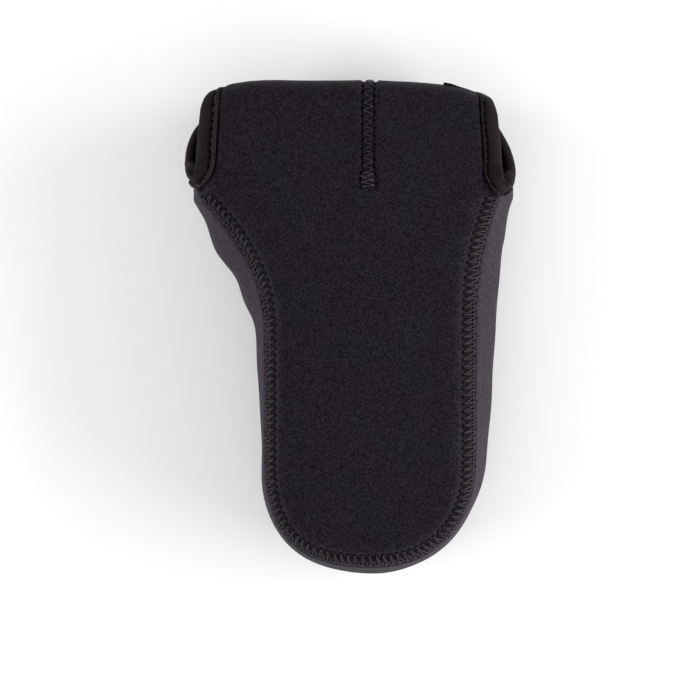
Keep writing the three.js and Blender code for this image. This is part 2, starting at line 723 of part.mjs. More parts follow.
// Zigzag thread over the seam between a panel and the gusset, on the outside.
// Each leg runs from the panel, over the butted edges, to the gusset or back again.
function seamThread(surface, facing, seamBow, samplesOf) {
  const samples = [...samplesOf(LEFT).reverse(), ...samplesOf(RIGHT)];
  const run = new THREE.SplineCurve(samples.map((sample) => sample.at));
  const count = STITCH_POINTS * Math.floor(run.getLength() / ZIGZAG_PITCH);
  const clear = SHEET / 2 + THREAD / 2 + ZIGZAG_LIFT;
  const height = FRONT_Z - BACK_Z - 2 * SEAM_DROP;
  const step = (1 - 2 * seamBow) * ZIGZAG_WIDTH / 2 / height;
  const points = [];
  for (let i = STITCH_POINTS; i <= count - STITCH_POINTS; i += 1) {
    const at = run.getPointAt(i / count);
    const tangent = run.getTangentAt(i / count);
    const sample = { at, out: flat(tangent.y, -tangent.x).normalize() };
    const side = i < count / 2 ? LEFT : RIGHT;
    const inner = at.clone().addScaledVector(sample.out, -ZIGZAG_WIDTH / 2);
    const panelNormal = normalOf(surface, inner.x, inner.y).multiplyScalar(facing);
    const gussetNormal = point(sample.out.x, sample.out.y, 0);
    const turn = i % STITCH_POINTS;
    if (turn === 0) {
      points.push(surface(inner.x, inner.y).addScaledVector(panelNormal, clear));
    } else if (turn === STITCH_POINTS / 2) {
      points.push(gussetPoint(sample, side, seamBow + step).addScaledVector(gussetNormal, clear));
    } else {
      const between = panelNormal.add(gussetNormal).normalize();
      points.push(gussetPoint(sample, side, seamBow).addScaledVector(between, clear));
    }
  }
  return threadGeometry(points);
}

// Zigzag thread along the dart, at lengths measured over the fold
function dartThread(from, to, width, pitch) {
  const count = Math.round((to - from) / pitch);
  const points = [];
  for (let i = 0; i <= count; i += 1) {
    const l = lerp(from, to, i / count);
    const x = LENS_AXIS + (i % 2 === 0 ? -1 : 1) * width / 2;
    const normal = normalOf(frontPoint, x, l);
    points.push(frontPoint(x, l).addScaledVector(normal, SHEET / 2 + CLEARANCE + THREAD / 2));
  }
  return threadGeometry(points);
}

// A rectangle of stitching seen on the face of a sheet, centred on a patch
function patchThread() {
  const rectangle = (width, height) => {
    const corners = [[-1, -1], [1, -1], [1, 1], [-1, 1]];
    return corners.map(([x, z]) => flat(x * width / 2, z * height / 2));
  };
  const width = PATCH_WIDTH - 2 * PATCH_STITCH_INSET;
  const height = PATCH_HEIGHT - 2 * PATCH_STITCH_INSET;
  const ring = new THREE.Shape(rectangle(width, height));
  ring.holes.push(new THREE.Path(rectangle(width - 2 * THREAD, height - 2 * THREAD)));
  const geometry = new THREE.ExtrudeGeometry(ring, { depth: THREAD, bevelEnabled: false });
  return geometry.translate(0, 0, -THREAD / 2).rotateX(Math.PI / 2);
}

// Materials
const material = (color, roughness) => new THREE.MeshStandardMaterial({ color, roughness, metalness: 0 });
const neoprene = () => material(0x242026, 0.82);
const binding = () => material(0x241f22, 0.88);
const thread = () => material(0x37333a, 0.6);
const hookTape = () => material(0x1b191c, 0.7);
const loopTape = () => material(0x1d1b1e, 0.95);
const tabTape = () => material(0x141215, 0.75);

// The assembled case
const cameraCase = new THREE.Group();

function addPiece(name, geometry, finish, place = point(0, 0, 0)) {
  const mesh = new THREE.Mesh(geometry, finish);
  mesh.name = name;
  mesh.position.copy(place);
  cameraCase.add(mesh);
}

addPiece('front_panel', frontPanel, neoprene());
addPiece('back_panel', backPanel, neoprene());
addPiece('gusset', gusset, neoprene());
addPiece('flap_panel', flapPanel, neoprene());

addPiece('left_opening_binding', openingBinding(LEFT), binding());
addPiece('right_opening_binding', openingBinding(RIGHT), binding());
addPiece('lip_binding', lipBinding(), binding());
addPiece('flap_binding', flapBinding(), binding());

const patchMiddle = PATCH_BASE + PATCH_HEIGHT / 2;
const loopY = LIP_Y + SHEET / 2 + CLEARANCE + LOOP_THICKNESS / 2;
const hookY = FLAP_Y - SHEET / 2 - CLEARANCE - HOOK_THICKNESS / 2;
const loopPatch = new THREE.BoxGeometry(PATCH_WIDTH, LOOP_THICKNESS, PATCH_HEIGHT);
const hookPatch = new THREE.BoxGeometry(PATCH_WIDTH, HOOK_THICKNESS, PATCH_HEIGHT);
addPiece('loop_patch', loopPatch, loopTape(), point(0, loopY, patchMiddle));
addPiece('hook_patch', hookPatch, hookTape(), point(0, hookY, patchMiddle));

const tab = new THREE.BoxGeometry(TAB_WIDTH, TAB_THICKNESS, TAB_HEIGHT);
const tabFoot = frontPoint(TAB_LEFT, FLAP_START + TAB_HEIGHT);
const tabY = tabFoot.y + SHEET / 2 + CLEARANCE + TAB_THICKNESS / 2;
const tabZ = FRONT_Z - FOLD_RADIUS - TAB_HEIGHT / 2;
addPiece('flap_tab', tab, tabTape(), point(TAB_LEFT + TAB_WIDTH / 2, tabY, tabZ));

const backSamples = (side) => [...seamSamples(side), ...upperSamples(side)];
addPiece('front_seam_thread', seamThread(frontPoint, 1, 0, seamSamples), thread());
addPiece('back_seam_thread', seamThread(backPoint, -1, 1, backSamples), thread());

const tackEnd = DART_END_Y + TACK_LENGTH;
addPiece('dart_bar_tack', dartThread(DART_END_Y, tackEnd, TACK_WIDTH, TACK_PITCH), thread());
const dart = dartThread(tackEnd + 2 * THREAD, HINGE_L - DART_RELIEF, DART_WIDTH, DART_PITCH);
addPiece('dart_thread', dart, thread());
const flapDart = dartThread(HINGE_L + DART_RELIEF, HINGE_L + DART_ON_FLAP, DART_WIDTH, DART_PITCH);
addPiece('flap_dart_thread', flapDart, thread());

for (const [name, side] of [['left_opening_thread', LEFT], ['right_opening_thread', RIGHT]]) {
  addPiece(name, threadGeometry(openingStitch(side)), thread());
}
addPiece('flap_thread', threadGeometry(flapPath(BINDING_STITCH_INSET, stitchLift(FLAP_ROLL))), thread());
const lipStitch = lipPath(BINDING_STITCH_INSET, stitchLift(ROLL), LIP_HALF - ROLL);
addPiece('lip_thread', threadGeometry(lipStitch), thread());

const patchThreadOffset = SHEET / 2 + CLEARANCE + THREAD / 2;
addPiece('hook_patch_thread', patchThread(), thread(), point(0, FLAP_Y + patchThreadOffset, patchMiddle));
addPiece('loop_patch_thread', patchThread(), thread(), point(0, LIP_Y - patchThreadOffset, patchMiddle));

// The grip side swells out more, so the case is set across to keep the origin in the middle of its box
const middle = new THREE.Box3().setFromObject(cameraCase).getCenter(point(0, 0, 0));
cameraCase.children.forEach((mesh) => mesh.position.sub(point(middle.x, middle.y, 0)));

export default cameraCase;
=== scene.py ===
import bpy
import math
import numpy as np
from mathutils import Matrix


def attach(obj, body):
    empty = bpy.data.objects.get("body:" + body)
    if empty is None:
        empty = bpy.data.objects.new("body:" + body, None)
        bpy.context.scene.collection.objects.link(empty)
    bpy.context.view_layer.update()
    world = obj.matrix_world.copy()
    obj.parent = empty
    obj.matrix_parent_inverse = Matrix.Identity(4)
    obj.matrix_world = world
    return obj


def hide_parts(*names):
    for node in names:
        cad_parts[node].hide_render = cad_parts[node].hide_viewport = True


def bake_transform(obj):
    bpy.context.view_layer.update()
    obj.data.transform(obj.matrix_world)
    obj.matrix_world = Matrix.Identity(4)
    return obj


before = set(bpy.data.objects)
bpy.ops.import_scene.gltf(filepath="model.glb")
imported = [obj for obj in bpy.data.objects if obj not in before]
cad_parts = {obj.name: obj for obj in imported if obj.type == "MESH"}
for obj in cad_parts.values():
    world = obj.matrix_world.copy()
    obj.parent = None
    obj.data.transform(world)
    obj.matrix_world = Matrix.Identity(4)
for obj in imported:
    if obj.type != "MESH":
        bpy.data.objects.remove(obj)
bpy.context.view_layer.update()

# Front panel and flap: one sheet of 3 mm foamed neoprene with a knitted jersey face.
# It is cut as a T with a rounded nose, sewn to the gusset up to the shoulders, and its upper
# end is folded over the camera's back as the flap.
LEFT, RIGHT = -1, 1
MM = 0.001
CASE_SHIFT = np.array([0.7856, -0.1597, 0.0])
SHEET = 3.0
LENS_AXIS = 10.0
STEM_HALF = 49.0
NOSE_Y, NOSE_LENGTH = -113.5, 49.0
NOSE_FULLNESS = {LEFT: 0.7, RIGHT: 0.63}
SHOULDER_Y, SHOULDER_HANDLE, SHOULDER_DROP = 65.0, 27.0, 19.0
SHOULDER_RUN = {LEFT: 18.5, RIGHT: 8.5}
BAR_EDGE = 71.5
FRONT_Z, BACK_Z = 84.5, 1.5
SEAM_RADIUS, SEAM_TURN = 14.0, math.radians(60)
RIM_RADIUS, RIM_TURN, RIM_BLEND = 26.0, math.radians(36), 20.0
FLAP_Y, FOLD_RADIUS = 118.0, 9.0
FOLD_Y = FLAP_Y - FOLD_RADIUS
FLAP_START = FOLD_Y + FOLD_RADIUS * math.pi / 2
FLAP_DROP = 58.0
FLAP_END = FLAP_START + FLAP_DROP
FLAP_HALF, FLAP_CORNER, FLAP_TAPER = 60.0, 16.0, 20.0
HINGE_L = (FOLD_Y + FLAP_START) / 2
DROOP = {LEFT: (4.8, 6), RIGHT: (8.5, 3)}
DROOP_RUN, FLAT_HALF = 34.0, 37.0
TOP_RISE, RISE_X, RISE_SPREAD = 0.6, -36.0, 20.0
FRONT_OPEN = (FLAP_HALF, FLAP_START + FLAP_TAPER, 77.0)
CROWN, CROWN_REACH = 1.5, 42.0
SEAM_LEAN = math.radians(66)
PANEL_INSET, GUSSET_INSET, STITCH_PITCH = 4.2, 2.1, 3.55
HOLE_DEPTH, HOLE_HALF, SEAM_SHADE, DART_SHADE = 1.9, 0.56, 0.95, 0.55
DART_HALF, DART_FOOT, DART_PITCH, DART_ON_FLAP = 2.8, 67.0, 3.8, 14.0
TACK_LENGTH, TACK_HALF = 8.5, 3.7
FOLD_PINCH, RIB_HEIGHT, PUFF_HEIGHT = 0.35, 0.25, 0.3
GROOVE_DEPTH, DART_HOLE_DEPTH, DART_REACH = 0.7, 1.6, 6.5
RING_DEPTHS = np.array([0, .3, .7, 1.15, 1.65, 2.15, 2.6, 3.0, 3.4, 3.85, 4.4,
                        4.95, 5.5, 6, 6.4, 6.75, 7.1, 7.45, 7.85, 8.4, 9.2, 10.4, 12])
SEAM_RELIEF = ([0, .35, 1.2, 2.3, 3.1, 3.8, 4.6, 6.2, 9, 13, 18],
               [-1.15, -.8, -.6, -.72, -1.0, -.5, 0, .3, .26, .1, 0])
RELIEF_INSET, LEAN_DEPTH = 3.1, 2.6
EDGE_BLEND_ROWS, RIM_LEAD_ROWS = 14, 30
MIDDLE_COLUMNS, DART_COLUMNS = 8, 29
FRONT_WAVES = 0.12
NOSE_ROWS, STEM_ROWS, SHOULDER_ROWS, BAR_ROWS, FOLD_ROWS, HANG_ROWS = 140, 112, 124, 72, 30, 36


def smooth_between(value, low, high):
    t = np.clip((value - low) / (high - low), 0, 1)
    return t * t * (3 - 2 * t)


def bezier(handles, shares):
    a, b, c, d = (np.asarray(h, float) for h in handles)
    t = np.asarray(shares, float)[:, None]
    return a * (1 - t) ** 3 + 3 * b * t * (1 - t) ** 2 + 3 * c * t * t * (1 - t) + d * t ** 3


def run_along(chain):
    return np.concatenate([[0], np.cumsum(np.linalg.norm(np.diff(chain, axis=0), axis=1))])


def evenly(chain, count):
    run = run_along(chain)
    at = np.linspace(0, run[-1], count)
    return np.stack([np.interp(at, run, chain[:, k]) for k in range(chain.shape[1])], axis=1)


def unit(vectors):
    return vectors / np.maximum(np.linalg.norm(vectors, axis=-1, keepdims=True), 1e-12)


# Cut edge of a panel from the nose tip to the end of its shoulder
def seam_line(side):
    stem = LENS_AXIS + side * STEM_HALF
    start = NOSE_Y + NOSE_LENGTH
    full = NOSE_FULLNESS[side]
    shares = np.linspace(0, 1, 400)
    nose = bezier([(LENS_AXIS, NOSE_Y), (LENS_AXIS + side * STEM_HALF * full, NOSE_Y),
                   (stem, start - NOSE_LENGTH * full), (stem, start)], shares)
    shoulder = bezier([(stem, 0), (stem, SHOULDER_HANDLE),
                       (side * (BAR_EDGE - SHOULDER_RUN[side]), SHOULDER_Y - SHOULDER_DROP),
                       (side * BAR_EDGE, SHOULDER_Y)], shares)
    straight = np.linspace((stem, start), (stem, 0), STEM_ROWS + 1)
    shoulder = evenly(shoulder, SHOULDER_ROWS + 1)
    return np.concatenate([evenly(nose, NOSE_ROWS + 1), straight[1:], shoulder[1:]])


def open_line(side, open_edge):
    half, length, handle = open_edge
    return bezier([(side * BAR_EDGE, SHOULDER_Y), (side * BAR_EDGE, SHOULDER_Y + handle),
                   (side * half, SHOULDER_Y + handle), (side * half, length)], np.linspace(0, 1, 200))


# Half width of a panel above its shoulders
def open_half(open_edge, lengths):
    curve = open_line(RIGHT, open_edge)
    return np.interp(lengths, curve[:, 1], curve[:, 0])


def edge_chains(open_edge):
    chains = []
    for side in (LEFT, RIGHT):
        seam = seam_line(side)[::4]
        upper = open_line(side, open_edge)[::4]
        chains.append((side, np.concatenate([seam, upper, [(side * open_edge[0], open_edge[1] + 240)]])))
    return chains


# Distance from flat points to a panel's edges, less than nothing outside them
def edge_distance(chains, x, l):
    points = np.stack([x, l], axis=-1).reshape(-1, 2)
    best = np.full(len(points), np.inf)
    inside = np.ones(len(points), bool)
    for side, chain in chains:
        for a, b in zip(chain[:-1], chain[1:]):
            run = b - a
            size = run @ run
            if size < 1e-12:
                continue
            away = points - a
            share = np.clip(away @ run / size, 0, 1)
            gap = np.hypot(away[:, 0] - share * run[0], away[:, 1] - share * run[1])
            nearer = gap < best
            best = np.where(nearer, gap, best)
            within = side * (run[0] * away[:, 1] - run[1] * away[:, 0]) >= 0
            inside = np.where(nearer, within, inside)
    return np.where(inside, best, -best).reshape(np.shape(x))


def openness(l):
    return smooth_between(l, SHOULDER_Y - RIM_BLEND, SHOULDER_Y)


def round_off(distance, opened):
    radius = SEAM_RADIUS + (RIM_RADIUS - SEAM_RADIUS) * opened
    turn = SEAM_TURN + (RIM_TURN - SEAM_TURN) * opened
    reach = np.maximum(radius * np.sin(turn) - distance, 0)
    return radius - np.sqrt(np.maximum(radius ** 2 - reach ** 2, 0))


def fold_droop(x, l):
    fall = {side: depth * np.abs(x / BAR_EDGE) ** power for side, (depth, power) in DROOP.items()}
    droop = np.where(x < 0, fall[LEFT], fall[RIGHT])
    flat = 1 - smooth_between(np.abs(x), FLAT_HALF, FLAP_HALF - 4)
    hung = smooth_between(l, FLAP_START, FLAP_START + DROOP_RUN) * flat
    rise = TOP_RISE * np.exp(-((x - RISE_X) / RISE_SPREAD) ** 2)
    return (droop - rise) * smooth_between(l, FOLD_Y - DROOP_RUN, FOLD_Y) * (1 - hung)


front_chains = edge_chains(FRONT_OPEN)


# Middle surface of the sheet, with the soft crown that the camera gives it
def front_point(x, l):
    x, l = np.asarray(x, float), np.asarray(l, float)
    distance = edge_distance(front_chains, x, l)
    fade = 1 - smooth_between(l, FOLD_Y, FLAP_START + FLAP_TAPER)
    crown = CROWN * smooth_between(distance, 4, CROWN_REACH) * (1 - smooth_between(l, FOLD_Y - 40, FOLD_Y))
    drop = round_off(distance, openness(l)) * fade
    turn = np.clip((l - FOLD_Y) / FOLD_RADIUS, 0, math.pi / 2)
    radius = FOLD_RADIUS - drop
    y = np.where(l <= FOLD_Y, l, FOLD_Y + radius * np.sin(turn)) - fold_droop(x, l)
    folded = FRONT_Z - FOLD_RADIUS + radius * np.cos(turn) - np.maximum(l - FLAP_START, 0)
    return np.stack([x, y, np.where(l <= FOLD_Y, FRONT_Z - drop + crown, folded)], axis=-1)


def surface_normal(surface, x, l, step=0.05):
    across = surface(x + step, l) - surface(x - step, l)
    along = surface(x, l + step) - surface(x, l - step)
    return unit(np.cross(across, along))


# Needle holes of the dart, along the pressed-in lines beside its rib
def dart_holes(x, l):
    on = smooth_between(l, DART_FOOT - 1, DART_FOOT + 0.5)
    on = on * (1 - smooth_between(l, HINGE_L + DART_ON_FLAP - 1, HINGE_L + DART_ON_FLAP))
    half = DART_HALF + (TACK_HALF - DART_HALF) * (1 - smooth_between(l, DART_FOOT + 5, DART_FOOT + 9))
    aside = np.abs(x - LENS_AXIS) - half
    phase = np.where(x < LENS_AXIS, 0, 0.5)
    step = (l - DART_FOOT) / DART_PITCH + phase
    hole = np.abs(step - np.round(step)) * DART_PITCH
    return on, half, aside, np.exp(-(aside / 0.7) ** 2 - (hole / 0.7) ** 2)


def dart_relief(x, l):
    on, half, aside, hole = dart_holes(x, l)
    dent = -GROOVE_DEPTH * np.exp(-(aside / 0.75) ** 2) - DART_HOLE_DEPTH * hole
    pinched = RIB_HEIGHT - FOLD_PINCH * smooth_between(l, FOLD_Y - 5, FOLD_Y + 4)
    rib = pinched * (1 - smooth_between(aside + half, 0.6 * half, half + 0.6))
    puff = PUFF_HEIGHT * np.exp(-((aside - 2.6) / 1.6) ** 2)
    return on * (dent + rib + puff)


# Needle holes of a zigzag seam, one at every stitch on each side of it
def seam_holes(run, depth, phase, inset):
    step = run / STITCH_PITCH + phase
    aside = np.abs(step - np.round(step)) * STITCH_PITCH
    return np.exp(-((depth - inset) / 0.55) ** 2 - (aside / HOLE_HALF) ** 2)


# Painted shade in the needle holes, and under the crossing threads between them
def seam_painted_shade(run, depth, phase, inset):
    under = SEAM_SHADE * (1 - smooth_between(depth / inset, 0.55, 0.95))
    return np.maximum(seam_holes(run, depth, phase, inset), under)


# Pressed-in band of a zigzag seam, with the sheet puffed beside it
def seam_relief(run, depth, phase, inset):
    pressed = np.interp(depth * RELIEF_INSET / inset, *SEAM_RELIEF)
    return pressed - HOLE_DEPTH * seam_holes(run, depth, phase, inset)


def outward(line, side):
    run = np.gradient(line, axis=0)
    return unit(np.stack([side * run[:, 1], -side * run[:, 0]], axis=-1))


def averaged(vectors, reach):
    kernel = np.ones(2 * reach + 1) / (2 * reach + 1)
    padded = np.pad(vectors, ((reach, reach), (0, 0)), mode="edge")
    return unit(np.stack([np.convolve(part, kernel, mode="valid") for part in padded.T], axis=1))


def panel_edges(open_edge, lengths, corner=None):
    edges = {}
    for side in (LEFT, RIGHT):
        seam = seam_line(side)
        half = open_half(open_edge, lengths)
        if corner is not None:
            half = half - corner
        upper = np.stack([side * half, lengths], axis=-1)
        line = np.concatenate([seam, upper])
        out = outward(line, side)
        out[0] = (0, -1)
        out[len(seam):] = unit(out[len(seam):] * (1, 0) + (side * 1e-3, 0))
        blended = averaged(out, EDGE_BLEND_ROWS)
        blended[:EDGE_BLEND_ROWS] = out[:EDGE_BLEND_ROWS]
        edges[side] = (line, blended, run_along(line), len(seam))
    return edges


# Flat places of a panel: rings beside both edges, even columns between them, closer at the dart
def panel_places(edges, middle_columns, dart_columns):
    depths = RING_DEPTHS[None, :, None]
    left, right = (line[:, None] - out[:, None] * depths for line, out, *_ in (edges[LEFT], edges[RIGHT]))
    start, end = left[:, -1], right[:, -1]
    width = end[:, 0] - start[:, 0]
    share = np.clip((LENS_AXIS - start[:, 0]) / np.maximum(width, 1e-6), 0.25, 0.75)[:, None]
    reach = np.minimum(DART_REACH / np.maximum(width, 1e-6), 0.2)[:, None]
    even = np.linspace(0, 1, middle_columns + 1)
    close = np.linspace(-1, 1, dart_columns)[1:-1]
    shares = np.concatenate([even[1:] * (share - reach), share + reach * close,
                             share + reach + (1 - share - reach) * even[:-1]], axis=1)
    middle = start[:, None] + shares[..., None] * (end - start)[:, None]
    return np.concatenate([left, middle, right[:, ::-1]], axis=1)


bar = np.linspace(SHOULDER_Y, FOLD_Y, BAR_ROWS + 1)[1:]
fold = np.linspace(FOLD_Y, FLAP_START, FOLD_ROWS + 1)[1:]
hang = np.linspace(FLAP_START, FLAP_END - FLAP_CORNER, HANG_ROWS + 1)[1:]
turns = np.linspace(0, math.radians(80), 24)[1:]
corner_rows = FLAP_END - FLAP_CORNER + FLAP_CORNER * np.sin(turns)
front_lengths = np.concatenate([bar, fold, hang, corner_rows])
flap_corner = np.concatenate([np.zeros(len(bar) + len(fold) + len(hang)), FLAP_CORNER * (1 - np.cos(turns))])
front_edges = panel_edges(FRONT_OPEN, front_lengths, flap_corner)
front_flat = panel_places(front_edges, MIDDLE_COLUMNS, DART_COLUMNS)
RINGS = len(RING_DEPTHS)


def ring_values(edges, columns, values):
    rows = len(edges[LEFT][0])
    full = np.full((rows, columns), np.nan)
    full[:, :RINGS] = values(LEFT)
    full[:, columns - RINGS:] = values(RIGHT)[:, ::-1]
    return full


# Relief or needle holes beside the seam, which ends at the shoulders
def sewn(what, edges, columns):
    def one_side(side):
        line, _, run, _ = edges[side]
        values = what(run[:, None], RING_DEPTHS[None], 0, PANEL_INSET)
        return values * (1 - smooth_between(line[:, 1], SHOULDER_Y - 4, SHOULDER_Y))[:, None]
    return np.nan_to_num(ring_values(edges, columns, one_side))


# The outer face leans into the seam, so that two sheets meet in one line there
def leant_normals(edges, normals, up):
    columns = normals.shape[1]

    def lean(side):
        bare = 1 - smooth_between(edges[side][0][:, 1], SHOULDER_Y - 6, SHOULDER_Y)
        return bare[:, None] * (1 - smooth_between(RING_DEPTHS, 0, LEAN_DEPTH))[None]

    share = np.nan_to_num(ring_values(edges, columns, lean))
    outs = np.zeros(normals.shape)
    for side, part in ((LEFT, slice(0, RINGS)), (RIGHT, slice(columns - RINGS, columns))):
        outs[:, part, :2] = edges[side][1][:, None] * math.sin(SEAM_LEAN)
        outs[:, part, 2] = up * math.cos(SEAM_LEAN)
    return unit(normals * (1 - share[..., None]) + outs * share[..., None])


# Slow uneven waves of a soft sheet
def soft_waves(x, y, size):
    long_waves = np.sin(x / 9.1 + y / 17.3 + 0.6) + np.sin(y / 12.7 - x / 21.0 + 2.1)
    return size * (long_waves + 0.6 * np.sin(x / 5.3 - y / 8.9 + 4.0))


# Bound edge of each strap opening, from the fold down the front sheet and round the foot of the opening
BAND_STEP, BAND_END, RIM_FROM, GROOVE_HALF = 0.45, 100.0, 45.0, 0.62
FOLD_HEIGHT = 0.8
GROOVE_U, RIM_GROOVE, UNDER_BAND, CORNER_TUCK = -8.0, 2.1, 1.5, 1.6
FLAP_BAND = 0.74
LIP_WIDE = {LEFT: 0.8, RIGHT: -0.45}
LEG_WIDTH = {LEFT: 1.0, RIGHT: 0.95}
LEG_FOOT = {LEFT: 84.0, RIGHT: 78.0}
FOOT_KEYS = {LEFT: [((-72.3, 77.5, 81.6), (-0.86, 0.35, -0.36), (-0.42, -0.15, 0.9), (0.88, 0.98, 0.03)),
                    ((-73.7, 74.4, 79.6), (-0.1, 0.97, 0.1), (-0.5, -0.1, 0.86), (0.78, 0.9, 0.015)),
                    ((-76.6, 76.8, 74.4), (0.1, 0.7, 0.7), (-0.9, -0.3, 0.3), (0.82, 0.95, 0.0))],
             RIGHT: [((72.6, 72.6, 81.9), (0.8, 0.5, -0.33), (0.45, -0.2, 0.87), (0.88, 0.98, 0.03)),
                     ((73.6, 69.2, 79.6), (0.1, 0.97, 0.1), (0.5, -0.1, 0.86), (0.8, 0.9, 0.015)),
                     ((76.2, 72.0, 75.0), (-0.1, 0.7, 0.7), (0.9, -0.3, 0.3), (0.84, 1.0, 0.0))]}


# Keys of a bound edge: its place, its direction out of the sheet, the sheet's outer normal, and the
# width, height and bend of the band there
def front_keys(side, lengths, widths, heights):
    x = side * open_half(FRONT_OPEN, lengths)
    place = front_point(x, lengths)
    out = unit(front_point(x + 0.05, lengths) - front_point(x - 0.05, lengths)) * side
    bend = (1 - smooth_between(lengths, FOLD_Y, FLAP_START + FLAP_TAPER)) / RIM_RADIUS
    sizes = np.stack(np.broadcast_arrays(widths, heights, bend), axis=1)
    return np.concatenate([place, out, surface_normal(front_point, x, lengths), sizes], axis=1)


def foot_keys(side):
    return np.array([np.concatenate(key) for key in FOOT_KEYS[side]])


def leg_heights(lengths):
    return 1 - (1 - FOLD_HEIGHT) * smooth_between(lengths, FOLD_Y - 19, FOLD_Y - 3)


def leg_keys(side):
    lengths = np.linspace(BAND_END, LEG_FOOT[side], 10)
    return np.concatenate([front_keys(side, lengths, LEG_WIDTH[side], leg_heights(lengths)), foot_keys(side)])


def square_to(vectors, direction):
    return vectors - direction * np.sum(vectors * direction, axis=1, keepdims=True)


# One smooth run through the keys, in even steps
def bound_run(keys, step):
    padded = np.concatenate([2 * keys[:1] - keys[1:2], keys, 2 * keys[-1:] - keys[-2:-1]])
    shares = np.linspace(0, 1, 41)[:-1, None]
    parts = []
    for a, b, c, d in zip(padded[:-3], padded[1:-2], padded[2:-1], padded[3:]):
        turn = 2 * a - 5 * b + 4 * c - d + shares * (3 * (b - c) + d - a)
        parts.append(b + 0.5 * shares * (c - a + shares * turn))
    fine = np.concatenate(parts + [keys[-1:]])
    run = run_along(fine[:, :3])
    at = np.linspace(0, run[-1], int(run[-1] / step) + 1)
    even = np.stack([np.interp(at, run, fine[:, k]) for k in range(12)], axis=1)
    place, tangent = even[:, :3], unit(np.gradient(even[:, :3], axis=0))
    out = unit(square_to(even[:, 3:6], tangent))
    normal = unit(square_to(square_to(even[:, 6:9], tangent), out))
    return place, out, normal, even[:, 9:], at


# A place on a bound edge, u across and n up from the sheet, which bends away from its edge
def bound_place(place, out, normal, bend, u, n):
    turn = u * bend
    along = u * np.sinc(turn / math.pi) + n * np.sin(turn)
    up = n * np.cos(turn) - u * np.sin(turn / 2) * np.sinc(turn / (2 * math.pi))
    return place + out * along[..., None] + normal * up[..., None]


# How near points of the sheet's face are to the inner side of a binding, and how far under it
def beside_binding(points):
    nearest, under = np.full(points.shape[:-1], np.inf), np.zeros(points.shape[:-1])
    for side in (LEFT, RIGHT):
        over_fold = np.linspace(FLAP_START + 6, BAND_END, 14)[:-1]
        keys = np.concatenate([front_keys(side, over_fold, LEG_WIDTH[side], FOLD_HEIGHT), leg_keys(side)])
        place, out, normal, sizes, at = bound_run(keys, BAND_STEP)
        across = (GROOVE_U - LIP_WIDE[side]) * sizes[:, 0]
        line = bound_place(place, out, normal, sizes[:, 2], across, np.full(len(at), SHEET / 2))
        close = side * points[..., 0] > RIM_FROM
        away = points[close][:, None] - line[None]
        gaps = np.linalg.norm(away, axis=-1)
        at_line = np.argmin(gaps, axis=1)
        rows = np.arange(len(at_line))
        nearest[close] = gaps[rows, at_line]
        under[close] = smooth_between(np.sum(away[rows, at_line] * out[at_line], axis=-1), 0.2, 1.4)
    return nearest, under


columns = front_flat.shape[1]
rim_rows = front_edges[LEFT][3] - RIM_LEAD_ROWS
front_x, front_l = front_flat[..., 0], front_flat[..., 1]
front_normals = leant_normals(front_edges, surface_normal(front_point, front_x, front_l), 1)
front_relief = sewn(seam_relief, front_edges, columns) + dart_relief(front_x, front_l)
front_gap = edge_distance(front_chains, front_x, front_l)
front_relief += soft_waves(front_x, front_l, FRONT_WAVES) * smooth_between(front_gap, 5, 16)
front_face = front_point(front_x, front_l) + front_normals * SHEET / 2
groove, under = np.zeros(front_x.shape), np.zeros(front_x.shape)
near_rim, under[rim_rows:] = beside_binding(front_face[rim_rows:])
groove[rim_rows:] = np.exp(-(near_rim / GROOVE_HALF) ** 2)
on_flap = smooth_between(front_l, FLAP_START + 4, FLAP_START + 8)
flap_gap = np.minimum(np.abs(front_x[:, :1]) - np.abs(front_x), FLAP_END - front_l)
flap_width = -GROOVE_U * FLAP_BAND
under_flap_band = 1 - smooth_between(flap_gap, flap_width - 1.4, flap_width - 0.2)
under = under * (1 - on_flap) + under_flap_band * on_flap
corner_gap = np.hypot(np.abs(front_x) - BAR_EDGE, front_l - SHOULDER_Y)
tucked = np.maximum(UNDER_BAND * under, CORNER_TUCK * (1 - smooth_between(corner_gap, 1.0, 6.0)))
front_outer = front_face + front_normals * (front_relief - np.maximum(RIM_GROOVE * groove, tucked))[..., None]
# Painted shade on the front sheet: the dart's needle holes and the bed along its rib, the seam's holes and
# the band under its threads, and the groove beside each binding
on_dart, _, beside_dart, dart_painted_shade = dart_holes(front_x, front_l)
dart_painted_shade = np.maximum(dart_painted_shade, DART_SHADE * (1 - smooth_between(beside_dart, -0.6, 0.3)))
front_painted_shade = np.maximum(np.maximum(sewn(seam_painted_shade, front_edges, columns), groove), on_dart * dart_painted_shade)


# A sheet or tube is a grid set to its places row by row, its doubles merged
def shaped_grid(name, places, uvs, painted_shade=None):
    rows, columns = places.shape[:2]
    bpy.ops.object.select_all(action="DESELECT")
    bpy.ops.mesh.primitive_grid_add(x_subdivisions=columns - 1, y_subdivisions=rows - 1, size=1)
    piece = bpy.context.object
    piece.name = piece.data.name = name
    piece.data.vertices.foreach_set("co", ((places + CASE_SHIFT) * MM).reshape(-1).astype(np.float32))
    corners = np.empty(len(piece.data.loops), np.int32)
    piece.data.loops.foreach_get("vertex_index", corners)
    piece.data.uv_layers[0].data.foreach_set("uv", uvs.reshape(-1, 2)[corners].reshape(-1).astype(np.float32))
    # Painted shade for the material, kept on the points
    if painted_shade is not None:
        shade = piece.data.attributes.new("painted_shade", "FLOAT", "POINT")
        shade.data.foreach_set("value", np.clip(painted_shade, 0, 1).reshape(-1).astype(np.float32))
    piece.data.update()
    bpy.ops.object.mode_set(mode="EDIT")
    bpy.ops.mesh.select_all(action="SELECT")
    bpy.ops.mesh.remove_doubles(threshold=2e-6)
    bpy.ops.mesh.delete_loose(use_verts=True, use_edges=True, use_faces=False)
    bpy.ops.object.mode_set(mode="OBJECT")
    bpy.ops.object.shade_smooth()
    return piece


